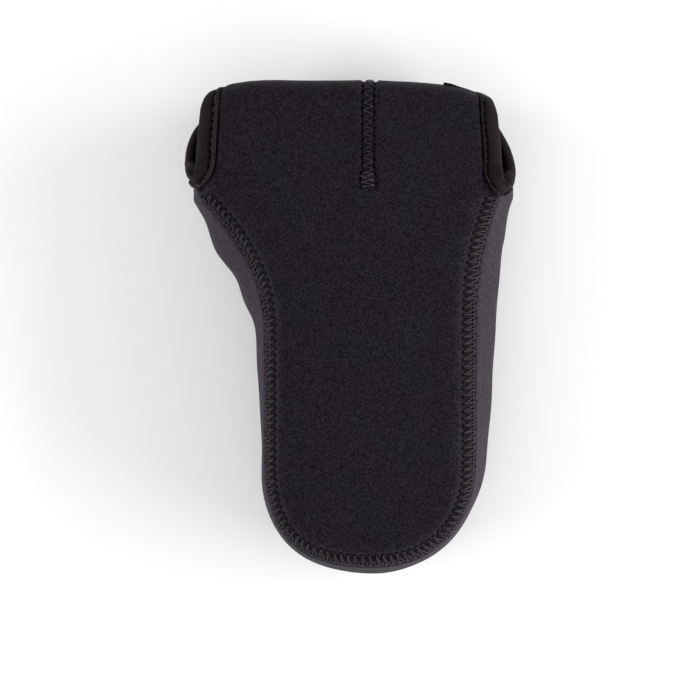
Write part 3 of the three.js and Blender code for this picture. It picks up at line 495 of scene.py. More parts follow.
def give_thickness(piece, thickness):
    bpy.ops.object.select_all(action="DESELECT")
    bpy.context.view_layer.objects.active = piece
    piece.select_set(True)
    bpy.ops.object.modifier_add(type="SOLIDIFY")
    solid = piece.modifiers[-1]
    solid.thickness = thickness * MM
    solid.offset = -1
    bpy.ops.object.modifier_apply(modifier=solid.name)


def new_finish(name, rough, shine):
    finish = bpy.data.materials.new(name)
    finish.use_nodes = True
    nodes, links = finish.node_tree.nodes, finish.node_tree.links
    shader = nodes["Principled BSDF"]
    shader.inputs["Roughness"].default_value = rough
    shader.inputs["Specular IOR Level"].default_value = shine
    return finish, nodes, links, shader


def give_sheen(shader, weight, rough, tint):
    shader.inputs["Sheen Weight"].default_value = weight
    shader.inputs["Sheen Roughness"].default_value = rough
    shader.inputs["Sheen Tint"].default_value = (*tint, 1)


# A piece's own flat places, as they are and turned to the slant of its cloth or thread
def cloth_places(nodes, links, slant, scale):
    where = nodes.new("ShaderNodeTexCoord")
    turned = nodes.new("ShaderNodeMapping")
    turned.inputs["Rotation"].default_value = (0, 0, slant)
    turned.inputs["Scale"].default_value = scale
    links.new(where.outputs["UV"], turned.inputs["Vector"])
    return where.outputs["UV"], turned.outputs["Vector"]


def pattern(nodes, links, kind, places, **settings):
    node = nodes.new(kind)
    for setting, value in settings.items():
        node.inputs[setting].default_value = value
    links.new(places, node.inputs["Vector"])
    return node.outputs["Fac"]


def maths_with(nodes, links):
    def maths(operation, *values):
        node = nodes.new("ShaderNodeMath")
        node.operation = operation
        for socket, value in zip(node.inputs, values):
            if isinstance(value, bpy.types.NodeSocket):
                links.new(value, socket)
            else:
                socket.default_value = value
        return node.outputs[0]

    return maths


# Colours from dark to light, each with the value where it stands
def tones(nodes, links, value, *stops):
    ramp = nodes.new("ShaderNodeValToRGB")
    elements = ramp.color_ramp.elements
    for k, (position, colour) in enumerate(stops):
        stop = elements[k] if k < 2 else elements.new(position)
        stop.position, stop.color = position, (*colour, 1)
    links.new(value, ramp.inputs["Fac"])
    return ramp.outputs["Color"]


def raise_threads(nodes, links, shader, height, strength, depth):
    bump = nodes.new("ShaderNodeBump")
    bump.inputs["Strength"].default_value = strength
    bump.inputs["Distance"].default_value = depth
    links.new(height, bump.inputs["Height"])
    links.new(bump.outputs["Normal"], shader.inputs["Normal"])


# Painted shade: darkens a colour in the needle holes and grooves, where no light gets in, and under crossing
# threads, under bindings and in creases
def darkened_by_painted_shade(nodes, links, colour):
    painted_shade = nodes.new("ShaderNodeAttribute")
    painted_shade.attribute_name = "painted_shade"
    mix = nodes.new("ShaderNodeMix")
    mix.data_type = "RGBA"
    mix.inputs[7].default_value = (0.0004, 0.0003, 0.0004, 1)
    links.new(painted_shade.outputs["Fac"], mix.inputs[0])
    links.new(colour, mix.inputs[6])
    return mix.outputs[2]


# Knitted jersey: columns of small V loops that run at a slant, every loop a little lighter or darker
# than the next, with faint clouds of colour, over foam that is almost black
LOOP_SIZE, LOOP_SLANT = 0.5, math.radians(38)


def jersey(name, dark, light, sheen, stretch, clouded):
    finish, nodes, links, shader = new_finish(name, 0.72, 0.06)
    give_sheen(shader, sheen, 0.42, (0.92, 0.86, 0.95))
    maths = maths_with(nodes, links)
    loop_scale = (1 / (LOOP_SIZE * stretch), 1 / LOOP_SIZE, 1)
    flat, slanted = cloth_places(nodes, links, LOOP_SLANT, loop_scale)
    parts = nodes.new("ShaderNodeSeparateXYZ")
    links.new(slanted, parts.inputs[0])
    across = maths("ABSOLUTE", maths("SUBTRACT", maths("FRACT", parts.outputs[0]), 0.5))
    slid = maths("ADD", parts.outputs[1], maths("MULTIPLY", across, 0.9))
    legs = maths("MULTIPLY", maths("PINGPONG", across, 0.25), 4)
    loops = maths("MULTIPLY", legs, maths("SINE", maths("MULTIPLY", maths("FRACT", slid), math.pi)))
    which = nodes.new("ShaderNodeCombineXYZ")
    links.new(maths("FLOOR", parts.outputs[0]), which.inputs[0])
    links.new(maths("FLOOR", slid), which.inputs[1])
    chance = nodes.new("ShaderNodeTexWhiteNoise")
    chance.noise_dimensions = "2D"
    links.new(which.outputs[0], chance.inputs["Vector"])
    cloudy = pattern(nodes, links, "ShaderNodeTexNoise", flat, Scale=0.045, Detail=4)
    knit = maths("MULTIPLY_ADD", loops, 0.3, maths("MULTIPLY", chance.outputs["Value"], 0.55))
    tone = maths("MULTIPLY_ADD", cloudy, 0.15, knit)
    tinted = nodes.new("ShaderNodeMix")
    tinted.data_type, tinted.blend_type = "RGBA", "MULTIPLY"
    tinted.inputs[0].default_value = clouded
    links.new(tones(nodes, links, tone, (0.25, dark), (0.65, light)), tinted.inputs[6])
    clouds = tones(nodes, links, cloudy, (0.4, (1.08, 0.94, 1.04)), (0.6, (0.86, 1.0, 0.98)))
    links.new(clouds, tinted.inputs[7])
    # The knit's colour is darkened by the painted shade on the points
    links.new(darkened_by_painted_shade(nodes, links, tinted.outputs[2]), shader.inputs["Base Color"])
    raise_threads(nodes, links, shader, knit, 0.8, 0.0003)
    return finish


neoprene = jersey("neoprene jersey", (0.001, 0.0007, 0.0012), (0.0208, 0.0152, 0.023), 0.085, 1.0, 1.0)
front_sheet = shaped_grid("front_sheet", front_outer, front_flat, front_painted_shade)
give_thickness(front_sheet, SHEET)
front_sheet.data.materials.append(neoprene)
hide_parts("front_panel", "flap_panel")
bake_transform(front_sheet)

# Back panel: the same neoprene cut to the same T, lying flat under the case.
# Its upper end is turned up as a lip that the flap closes on.
LIP_RADIUS, LIP_HALF = 9.0, 50.0
LIP_Y, LIP_TOP = 110.4, 48.0
LIP_FOLD_Y = LIP_Y - LIP_RADIUS
LIP_START = LIP_FOLD_Y + LIP_RADIUS * math.pi / 2
LIP_TAPER = 5.0
LIP_END = LIP_START + LIP_TOP - BACK_Z - LIP_RADIUS
UPPER_END = (LIP_FOLD_Y + LIP_START) / 2
BACK_OPEN = (LIP_HALF, LIP_START + LIP_TAPER, 27.0)
BACK_PUFF, BACK_CENTRE_COLUMNS = 0.05, 5
back_chains = edge_chains(BACK_OPEN)


def back_point(x, l):
    x, l = np.asarray(x, float), np.asarray(l, float)
    fade = 1 - smooth_between(l, LIP_FOLD_Y, LIP_START + LIP_TAPER)
    rise = round_off(edge_distance(back_chains, x, l), np.zeros_like(l)) * fade
    turn = np.clip((l - LIP_FOLD_Y) / LIP_RADIUS, 0, math.pi / 2)
    radius = LIP_RADIUS - rise
    y = np.where(l <= LIP_FOLD_Y, l, LIP_FOLD_Y + radius * np.sin(turn))
    raised = BACK_Z + LIP_RADIUS - radius * np.cos(turn) + np.maximum(l - LIP_START, 0)
    return np.stack([x, y, np.where(l <= LIP_FOLD_Y, BACK_Z + rise, raised)], axis=-1)


back_lengths = np.concatenate([np.linspace(SHOULDER_Y, LIP_FOLD_Y, 41)[1:],
                               np.linspace(LIP_FOLD_Y, LIP_START, 25)[1:],
                               np.linspace(LIP_START, LIP_END, 31)[1:]])
back_edges = panel_edges(BACK_OPEN, back_lengths)
back_flat = panel_places(back_edges, MIDDLE_COLUMNS, BACK_CENTRE_COLUMNS)[:, ::-1]
back_x, back_l = back_flat[..., 0], back_flat[..., 1]
back_normals = -surface_normal(back_point, back_x, back_l)
back_normals = leant_normals(back_edges, back_normals[:, ::-1], -1)[:, ::-1]
back_relief = sewn(seam_relief, back_edges, back_flat.shape[1])[:, ::-1]
back_relief = np.minimum(back_relief, BACK_PUFF)
back_outer = back_point(back_x, back_l) + back_normals * (SHEET / 2 + back_relief)[..., None]
# Painted shade in the back seam's holes and under its threads
back_painted_shade = sewn(seam_painted_shade, back_edges, back_flat.shape[1])[:, ::-1]
back_sheet = shaped_grid("back_sheet", back_outer, back_flat, back_painted_shade)
give_thickness(back_sheet, SHEET)
back_sheet.data.materials.append(neoprene)
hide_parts("back_panel")
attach(back_sheet, "body")

# Gusset: one long strip of the same neoprene between the two panels, from one strap opening
# round the nose to the other. Its upper ends are free at the front and reach up to the lip.
BULGE, NOSE_BULGE, SHOULDER_BULGE = 7.8, 5.5, 4.8
GRIP_BULGE, GRIP_Y, GRIP_SPREAD = 6.6, 46.0, 18.0
LENS_BULGE, LENS_Y, LENS_SPREAD = 4.2, 17.0, 14.0
SIDE_BULGE, SIDE_Y, SIDE_SPREAD = 1.8, 18.0, 32.0
NOSE_TUCK, TUCK_Y, TUCK_SPREAD = 4.0, -96.0, 25.0
SWELL = {LEFT: (9.5, 9.0), RIGHT: (12.5, 7.0)}
INLET = {LEFT: (35.0, 4.0), RIGHT: (20.0, 6.0)}
SWELL_Z, INLET_LIFT = 66.0, 3.0
FOOT_REACH = {LEFT: 3.6, RIGHT: 0.0}
UPPER_ROWS, GUSSET_COLUMNS, GUSSET_BLEND_ROWS = 56, 11, 10
GUSSET_WAVES, CUT_APART = 0.22, 200
GUSSET_HEIGHT = FRONT_Z - BACK_Z - 2 * float(round_off(np.zeros(1), np.zeros(1))[0])
RIM_DROP = float(round_off(np.zeros(1), np.ones(1))[0])


def swelling(y, height, middle, spread):
    return height * np.exp(-((y - middle) / spread) ** 2)


def bow_out(line, side):
    x, y = line[:, 0], line[:, 1]
    even = NOSE_BULGE + (BULGE - NOSE_BULGE) * smooth_between(y, NOSE_Y + NOSE_LENGTH, 0)
    even = even + (SHOULDER_BULGE - even) * openness(y)
    if side == LEFT:
        grip = swelling(y, GRIP_BULGE, GRIP_Y, GRIP_SPREAD)
        return even + grip + swelling(y, LENS_BULGE, LENS_Y, LENS_SPREAD)
    tuck = NOSE_TUCK * smooth_between(x, LENS_AXIS, LENS_AXIS + STEM_HALF)
    tuck = swelling(y, tuck, TUCK_Y, TUCK_SPREAD)
    return even + swelling(y, SIDE_BULGE, SIDE_Y, SIDE_SPREAD) - tuck


def gusset_rim(side, shares):
    swell, rise = SWELL[side]
    inlet, drop = INLET[side]
    rim = bezier([(side * BAR_EDGE, SHOULDER_Y, FRONT_Z - RIM_DROP),
                  (side * (BAR_EDGE + swell), SHOULDER_Y + rise, SWELL_Z),
                  (side * (LIP_HALF + inlet), LIP_Y - drop, LIP_TOP + INLET_LIFT),
                  (side * LIP_HALF, LIP_Y, LIP_TOP)], shares)
    reach = FOOT_REACH[side] * smooth_between(shares, 0, 0.06) * (1 - smooth_between(shares, 0.16, 0.34))
    return rim + np.outer(reach, (0, 1, 0.5))


def lip_side(side, bows):
    l = LIP_END + (UPPER_END - LIP_END) * bows
    return back_point(side * open_half(BACK_OPEN, l), l)


# Middle surface of one half of the gusset: rows from the nose tip to the lip, columns from front to back
def gusset_half(side, bows):
    seam = seam_line(side)
    lengths = np.linspace(SHOULDER_Y, UPPER_END, UPPER_ROWS + 1)[1:]
    line = np.concatenate([seam, np.stack([side * open_half(BACK_OPEN, lengths), lengths], axis=-1)])
    bare = outward(line, side)
    bare[0] = (0, -1)
    out = averaged(bare, GUSSET_BLEND_ROWS)
    out[:GUSSET_BLEND_ROWS] = bare[:GUSSET_BLEND_ROWS]
    share = np.clip((line[:, 1] - SHOULDER_Y) / (UPPER_END - SHOULDER_Y), 0, 1)
    front_z = FRONT_Z - round_off(np.zeros(len(line)), openness(line[:, 1]))
    front = np.concatenate([line, front_z[:, None]], axis=1)
    front[len(seam):] = gusset_rim(side, share[len(seam):])
    back = back_point(line[:, 0], line[:, 1])
    place = front[:, None] + (back - front)[:, None] * bows[None, :, None]
    bulge = bow_out(line, side)[:, None] * np.sin(math.pi * bows)[None] * ((1 - share) ** 3)[:, None]
    place[..., :2] += out[:, None] * bulge[..., None]
    ends = lip_side(side, bows)
    straight = ends[0] + (ends[-1] - ends[0]) * bows[:, None]
    return place + (share ** 3)[:, None, None] * (ends - straight)[None], out, run_along(line), line


edge_depths = RING_DEPTHS[:-1]
middle_depths = np.linspace(RING_DEPTHS[-1], GUSSET_HEIGHT - RING_DEPTHS[-1], GUSSET_COLUMNS)
bows = np.concatenate([edge_depths, middle_depths, GUSSET_HEIGHT - edge_depths[::-1]]) / GUSSET_HEIGHT
gusset_runs = {}
halves, leans, reliefs, painted_shade, gusset_uvs = [], [], [], [], []
for side in (LEFT, RIGHT):
    middle, out, run, line = gusset_half(side, bows)
    gusset_runs[side] = run
    sewn_part = (1 - smooth_between(line[:, 1], SHOULDER_Y - 4, SHOULDER_Y))[:, None]
    depth = bows * GUSSET_HEIGHT
    from_back = GUSSET_HEIGHT - depth
    at_front = depth < GUSSET_HEIGHT / 2
    front_seam = (run[:, None], depth[None], 0.5, GUSSET_INSET)
    back_seam = (run[:, None], from_back[None], 0.5, GUSSET_INSET)
    back_part = np.minimum(seam_relief(*back_seam), BACK_PUFF)
    relief = np.where(at_front[None], seam_relief(*front_seam) * sewn_part, back_part)
    lean = np.zeros(middle.shape)
    lean[..., :2] = out[:, None] * math.sin(SEAM_LEAN)
    lean[..., 2] = np.where(at_front, 1, -1)[None] * math.cos(SEAM_LEAN)
    near_front, near_back = (1 - smooth_between(gap, 0, LEAN_DEPTH)[None] for gap in (depth, from_back))
    near = near_front * sewn_part + near_back
    uv = np.stack(np.broadcast_arrays(depth[None] + CUT_APART, side * run[:, None]), axis=-1)
    # Painted shade in the gusset's seam holes and under the threads
    gusset_seam_shade = np.maximum(seam_painted_shade(*front_seam) * sewn_part, seam_painted_shade(*back_seam))
    order = slice(None, 0, -1) if side == LEFT else slice(None)
    halves.append(middle[order])
    leans.append(np.concatenate([lean, near[..., None]], axis=-1)[order])
    reliefs.append(relief[order])
    painted_shade.append(gusset_seam_shade[order])
    gusset_uvs.append(uv[order])
gusset_middle, gusset_lean = np.concatenate(halves), np.concatenate(leans)
gusset_relief, gusset_uv = np.concatenate(reliefs), np.concatenate(gusset_uvs)
gusset_normals = unit(np.cross(np.gradient(gusset_middle, axis=1), np.gradient(gusset_middle, axis=0)))
near = gusset_lean[..., 3:]
gusset_normals = unit(gusset_normals * (1 - near) + gusset_lean[..., :3] * near)
in_middle = smooth_between(bows, 0.08, 0.3) * (1 - smooth_between(bows, 0.7, 0.92))
gusset_waves = soft_waves(gusset_uv[..., 1], gusset_uv[..., 0] * 0.6, GUSSET_WAVES)
gusset_relief = gusset_relief + gusset_waves * in_middle[None]
gusset_outer = gusset_middle + gusset_normals * (SHEET / 2 + gusset_relief)[..., None]
gusset_strip = shaped_grid("gusset_strip", gusset_outer, gusset_uv, np.concatenate(painted_shade))
give_thickness(gusset_strip, SHEET)
# The gusset's copy of the jersey has its loops stretched across and a lighter base colour: painted light for
# the brighter sheen its side walls show under the side lamps
side_lit_jersey = jersey("side-lit neoprene jersey", (0.0115, 0.009, 0.0122), (0.038, 0.0305, 0.0406),
                   0.049, 1.7, 0.25)
gusset_strip.data.materials.append(side_lit_jersey)
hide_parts("gusset")
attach(gusset_strip, "body")

# Zigzag threads of the two seams: bonded nylon thread, one needle thread from hole to hole over the
# butted edges, and a finer looper thread that crosses it.
THREAD_RADIUS, LOOPER_RADIUS = 0.2, 0.17
GUSSET_REACH, SEAM_STOP = 0.74, 0.2
NEEDLE_CLIMBS, NEEDLE_LIFT = (1.5, 0.5), 0.5
LOOPER_CLIMBS, LOOPER_LIFT = (-0.5,), 0.2
STRAND_RISE = ((0.0, -1.2), (0.08, 0.2), (0.22, 0.9), (0.5, 1.1), (0.78, 0.9), (0.92, 0.2), (1.0, -1.2))


def turn_faces_out():
    bpy.ops.object.mode_set(mode="EDIT")
    bpy.ops.mesh.select_all(action="SELECT")
    bpy.ops.mesh.normals_make_consistent(inside=False)
    bpy.ops.object.mode_set(mode="OBJECT")


# Round tubes along paths, tapered to a point at both ends, all in one mesh
def thread_tubes(name, paths, radius, sides=6):
    angles = np.linspace(0, 2 * math.pi, sides + 1)
    rings, uvs = [], []
    for path in paths:
        path = np.asarray(path, float)
        tangents = unit(np.gradient(path, axis=0))
        lift = np.array([0.0, 0.0, 1.0])
        if abs(tangents[0] @ lift) > 0.8:
            lift = np.array([1.0, 0.0, 0.0])
        run = run_along(path)
        for i, (at, tangent) in enumerate(zip(path, tangents)):
            lift = unit(lift - tangent * (lift @ tangent))
            across = np.cross(tangent, lift)
            size = radius * (0 if i in (0, len(path) - 1) else 1)
            rings.append(at + size * (np.cos(angles)[:, None] * lift + np.sin(angles)[:, None] * across))
            uvs.append(np.stack([angles / (2 * math.pi), np.full(sides + 1, run[i])], axis=-1))
    piece = shaped_grid(name, np.array(rings), np.array(uvs))
    turn_faces_out()
    return piece


# Twisted thread: plies run round it at a slant
def twisted(name, dark, light, rough, shine=0.2):
    finish, nodes, links, shader = new_finish(name, rough, shine)
    _, slanted = cloth_places(nodes, links, math.radians(20), (1, 1.1, 1))
    plies = pattern(nodes, links, "ShaderNodeTexWave", slanted, Scale=0.62, Distortion=0.6)
    links.new(tones(nodes, links, plies, (0.0, dark), (1.0, light)), shader.inputs["Base Color"])
    raise_threads(nodes, links, shader, plies, 0.6, 0.0002)
    return finish


# The nylon's light ply tones stand partly for glints: painted highlights on the twisted thread
nylon_thread = twisted("nylon thread", (0.006, 0.0042, 0.006), (0.092, 0.068, 0.093), 0.36)
# The looper thread is a darker copy of the same nylon: painted shade for the lower, dimmer crossing strands
looper_thread = twisted("looper thread", (0.0015, 0.001, 0.0015), (0.018, 0.0128, 0.018), 0.5)


# A place on a sheet's outer face, by its length along the seam and its depth from it
def band_place(faces, runs, depths, run, depth):
    row = np.clip(np.interp(run, runs, np.arange(len(runs))), 0, len(runs) - 1.001)
    column = np.clip(np.interp(depth, depths, np.arange(len(depths))), 0, len(depths) - 1.001)
    i, j = int(row), int(column)
    u, v = row - i, column - j
    near = faces[i, j] * (1 - v) + faces[i, j + 1] * v
    far = faces[i + 1, j] * (1 - v) + faces[i + 1, j + 1] * v
    return near * (1 - u) + far * u


# Strands over the seam, each from a needle hole on the panel up to one on the gusset
def seam_strands(name, panel, gusset, edges, ends, climbs, lift, radius):
    paths = []
    stitches = range(-math.ceil(ends[LEFT] / STITCH_PITCH), int(ends[RIGHT] / STITCH_PITCH))
    for k, climb in ((k, climb) for k in stitches for climb in climbs):
        path = []
        for share, rise in STRAND_RISE:
            inside = math.sin(math.pi * share)
            run = (k + climb * share + 0.12 * math.sin(k * 7.31 + climb) * inside) * STITCH_PITCH
            side = LEFT if run < 0 else RIGHT
            across = 2 * share - 1
            if across > 0:
                sheet, depth = gusset[side], across * GUSSET_INSET * GUSSET_REACH
            else:
                sheet, depth = panel[side], -across * PANEL_INSET
            place, normal = (band_place(faces, edges[side], sheet[2], abs(run), depth) for faces in sheet[:2])
            wander = 0.22 * math.sin(k * 12.9898 + climb + 3 * share) * inside
            path.append(place + unit(normal) * (radius * rise + lift * inside + wander))
        paths.append(path)
    return thread_tubes(name, paths, radius)


def ring_faces(outer, normals, edges, mirrored):
    rows = edges[LEFT][3]
    columns = outer.shape[1]
    low, high = slice(0, RINGS), slice(columns - 1, columns - 1 - RINGS, -1)
    if mirrored:
        low, high = high, low
    return {side: (outer[:rows, part], normals[:rows, part], RING_DEPTHS)
            for side, part in ((LEFT, low), (RIGHT, high))}


def gusset_faces(columns):
    tip = len(halves[0])
    return {side: (gusset_outer[rows, columns], gusset_normals[rows, columns], edge_depths)
            for side, rows in ((LEFT, slice(tip, None, -1)), (RIGHT, slice(tip, None)))}


sewn_rows = front_edges[LEFT][3]
edge_columns = len(edge_depths)
front_faces = ring_faces(front_outer, front_normals, front_edges, False)
back_faces = ring_faces(back_outer, back_normals, back_edges, True)
gusset_front = gusset_faces(slice(0, edge_columns))
gusset_back = gusset_faces(slice(None, -edge_columns - 1, -1))
seam_runs = {side: front_edges[side][2][:sewn_rows] for side in (LEFT, RIGHT)}
seam_ends = {side: seam_runs[side][-1] - SEAM_STOP for side in (LEFT, RIGHT)}
for label, panel, gusset_band, node in (("front", front_faces, gusset_front, "front_seam_thread"),
                                        ("back", back_faces, gusset_back, "back_seam_thread")):
    seam = (panel, gusset_band, seam_runs, seam_ends)
    zigzag = seam_strands(label + "_seam_zigzag", *seam, NEEDLE_CLIMBS, NEEDLE_LIFT, THREAD_RADIUS)
    looper = seam_strands(label + "_seam_looper", *seam, LOOPER_CLIMBS, LOOPER_LIFT, LOOPER_RADIUS)
    for thread, finish in ((zigzag, nylon_thread), (looper, looper_thread)):
        thread.data.materials.append(finish)
        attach(thread, "body")
    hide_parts(node)

# Dart: the front sheet is pinched and closed with a narrow zigzag from the middle of the bar up over
# the fold, so that it follows the camera's top. Its lower end is held by a bar tack of crossed thread.
DART_TOP = HINGE_L + DART_ON_FLAP
TACK_PITCH, TACK_TURNS = 2.4, (0.0, 2.6)


def on_front(x, l, lift):
    x, l = np.asarray(x, float), np.asarray(l, float)
    normal = surface_normal(front_point, x, l)
    return front_point(x, l) + normal * (SHEET / 2 + dart_relief(x, l) + lift)[..., None]


# Legs from needle hole to needle hole, each rising over the rib between them
def crossing_thread(stops, radius, rise):
    x, l, lift = [], [], []
    for k, ((x0, l0), (x1, l1)) in enumerate(zip(stops[:-1], stops[1:])):
        for share, up in ((0.0, -0.3), (0.12, 0.5), (0.3, 0.9), (0.5, 1.0), (0.7, 0.9), (0.88, 0.5)):
            x.append(x0 + (x1 - x0) * share)
            l.append(l0 + (l1 - l0) * share)
            lift.append(radius * up + rise * (0.2 < share < 0.8) + 0.08 * math.sin(k * 7.13))
    return on_front(x, l, np.array(lift))


def side_of(k):
    return LEFT if k % 2 == 0 else RIGHT


# One uneven turn of the bar tack's thread
def tack_stops(turn):
    legs = range(int(TACK_LENGTH / TACK_PITCH) * 2 + 1)
    return [(LENS_AXIS + side_of(k) * TACK_HALF * (0.85 + 0.2 * math.sin(k * 5.3 + turn)),
             DART_FOOT + 0.3 + k * TACK_PITCH / 2 + 0.8 * math.sin(k * 9.7 + turn)) for k in legs]


dart_legs = int((DART_TOP - DART_FOOT - TACK_LENGTH) / (DART_PITCH / 2))
dart_start = DART_FOOT + TACK_LENGTH - 1.5
dart_stops = [(LENS_AXIS + side_of(k) * DART_HALF, dart_start + k * DART_PITCH / 2) for k in range(dart_legs)]
dart_zigzag = thread_tubes("dart_zigzag", [crossing_thread(dart_stops, LOOPER_RADIUS, 0.1)], LOOPER_RADIUS)
dart_zigzag.data.materials.append(nylon_thread)
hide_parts("dart_thread", "flap_dart_thread")
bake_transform(dart_zigzag)
tack_paths = [crossing_thread(tack_stops(turn), LOOPER_RADIUS, 0.15 + 0.3 * k)
              for k, turn in enumerate(TACK_TURNS)]
bar_tack = thread_tubes("bar_tack", tack_paths, LOOPER_RADIUS)
bar_tack.data.materials.append(nylon_thread)
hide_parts("dart_bar_tack")
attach(bar_tack, "body")

# Bindings: a strip of soft stretch cloth folded round every open edge and sewn down beside it, with
# its inner edge left standing as a thin lip. It runs from the fold down the front panel, round the foot
# of each strap opening, up the gusset and along the lip, and another length goes round the flap.
BAND_PROFILE = np.array([(-7.35, -0.4), (-7.75, 1.1), (-7.68, 2.1), (-7.35, 2.55), (-6.95, 2.5),
                         (-6.65, 2.05), (-6.4, 1.6), (-6.1, 1.45), (-5.8, 1.65), (-5.45, 2.1),
                         (-4.9, 2.55), (-4.1, 2.9), (-3.0, 3.15), (-1.7, 3.28), (-0.4, 3.15),
                         (0.7, 2.75), (1.6, 2.1), (2.2, 1.2), (2.5, 0.1), (2.35, -1.0),
                         (1.6, -2.1), (0.3, -2.8), (-1.6, -3.0), (-3.6, -2.6), (-5.3, -1.9),
                         (-6.5, -1.2)])
LIP_SHARE = np.concatenate([[1, 1, 1, 1, 0.4], np.zeros(len(BAND_PROFILE) - 5)])
VALLEY_U, VALLEY_N = -6.1, 1.45
BAND_PITCH = 3.75
RIM_BAND, RIM_LIFT = 0.95, 0.8
INSIDE_SHADE = 0.85
BAND_HOLE_DEPTH, WRINKLE, FOOT_SPREAD = 1.5, 0.55, 7.5
RIM_START, RIM_STOP = {LEFT: 0.33, RIGHT: 0.25}, 0.985


def rim_keys(side, shares):
    step = 0.02
    middle, _, _, line = gusset_half(side, np.array([0.0, 0.06, 1.0]))
    upper, lengths = middle[sewn_rows:], line[sewn_rows:, 1]

    def surface(share, bow):
        at = SHOULDER_Y + (UPPER_END - SHOULDER_Y) * share
        return np.stack([np.interp(at, lengths, upper[:, bow, k]) for k in range(3)], axis=-1)

    place, below = surface(shares, 0), surface(shares, 1)
    ahead, behind = surface(np.minimum(shares + step, 1), 0), surface(shares - step, 0)
    out = unit(place - below)
    normal = unit(np.cross(ahead - behind, out)) * side
    lift = RIM_LIFT * (1 - smooth_between(shares, 0.5, 0.9))
    sizes = np.tile((RIM_BAND, RIM_BAND, 0.0), (len(shares), 1))
    return np.concatenate([place + normal * lift[:, None], out, normal, sizes], axis=1)


def with_ends(rows):
    return np.concatenate([rows[:1], rows, rows[-1:]])


def closed_round(rows):
    return np.concatenate([rows, rows[:, :1]], axis=1)


# The band on part of a run: holes of its stitching pressed in, and creases where it turns sharply; its holes,
# underside and creases get painted shade
def band(name, run, first, last, crease, inside_shade):
    part = slice(first, last)
    place, out, normal, sizes, at = (values[part] for values in run)
    wide = sum(LIP_WIDE[side] * smooth_between(side * place[:, 0], 20, 60) for side in (LEFT, RIGHT))
    u = (BAND_PROFILE[:, 0][None] - wide[:, None] * LIP_SHARE[None]) * sizes[:, :1]
    n = BAND_PROFILE[:, 1][None] * sizes[:, 1:2]
    step = at / BAND_PITCH
    hole = np.exp(-((np.abs(step - np.round(step)) * BAND_PITCH) / 0.7) ** 2)
    sunk = np.exp(-((BAND_PROFILE[:, 0] - VALLEY_U) / 0.5) ** 2) * (BAND_PROFILE[:, 1] > 0)
    n = n - BAND_HOLE_DEPTH * hole[:, None] * sunk[None]
    inner = smooth_between(BAND_PROFILE[:, 0], -3.0, 1.0)
    wrinkle = WRINKLE * np.sin(at * 2.1 + 0.7)[:, None] * inner[None] * crease[part, None]
    soft = 0.12 * np.sin(at / 4.1)[:, None] + 0.08 * np.sin(at / 1.9 + 1.0)[:, None]
    n = n + wrinkle + soft * inner[None]
    places = bound_place(place[:, None], out[:, None], normal[:, None], sizes[:, 2:], u, n)
    middle = places.mean(axis=1, keepdims=True)
    places = with_ends(closed_round(places))
    places[[0, -1]] = middle[[0, -1]]
    round_run = run_along(BAND_PROFILE)
    round_run = np.append(round_run, round_run[-1] + 1.0)
    uvs = np.stack(np.broadcast_arrays(round_run[None], at[:, None]), axis=-1)
    # Painted shade on the band's underside, in the creases at the foot of each opening and in its stitch
    # holes
    under = smooth_between(-BAND_PROFILE[:, 1], 0.2, 2.0)
    shade = np.maximum(under[None], 0.8 * crease[part, None] * inner[None])
    band_painted_shade = closed_round(np.maximum(hole[:, None] * sunk[None], inside_shade * shade))
    piece = shaped_grid(name, places, with_ends(uvs), with_ends(band_painted_shade))
    turn_faces_out()
    bpy.ops.object.shade_smooth_by_angle(angle=math.radians(70))
    return piece


def opening_keys(side):
    shares = np.linspace(RIM_START[side], RIM_STOP, 24)
    return np.concatenate([leg_keys(side), rim_keys(side, shares)])


# Keys of an edge on which the band keeps its direction and size
def straight_keys(places, up, size):
    return np.concatenate([places, np.tile((0, 0, up, 0, 1, 0, size, size, 0), (len(places), 1))], axis=1)


lip_x = np.linspace(-LIP_HALF + 5, LIP_HALF - 5, 14)
lip_keys = straight_keys(back_point(lip_x, np.full(len(lip_x), LIP_END)), 1, RIM_BAND)
opening_run = bound_run(np.concatenate([opening_keys(LEFT), lip_keys, opening_keys(RIGHT)[::-1]]), BAND_STEP)
lip_from = int(np.argmin(np.linalg.norm(opening_run[0] - lip_keys[0][:3], axis=1)))
lip_to = int(np.argmin(np.linalg.norm(opening_run[0] - lip_keys[-1][:3], axis=1)))
foot_near = np.zeros(len(opening_run[4]))
for side in (LEFT, RIGHT):
    foot_gap = np.linalg.norm(opening_run[0] - foot_keys(side)[1][:3], axis=1)
    foot_near = np.maximum(foot_near, np.exp(-(foot_gap / FOOT_SPREAD) ** 2))


# Stretch binding: a warmer black than the neoprene, its fine slanting ribs opened on the lip; the lip is
# paler, partly from its opened ribs and partly as a painted highlight on its raised edge
LIP_RUN, LIP_PALER = 4.0, 0.16


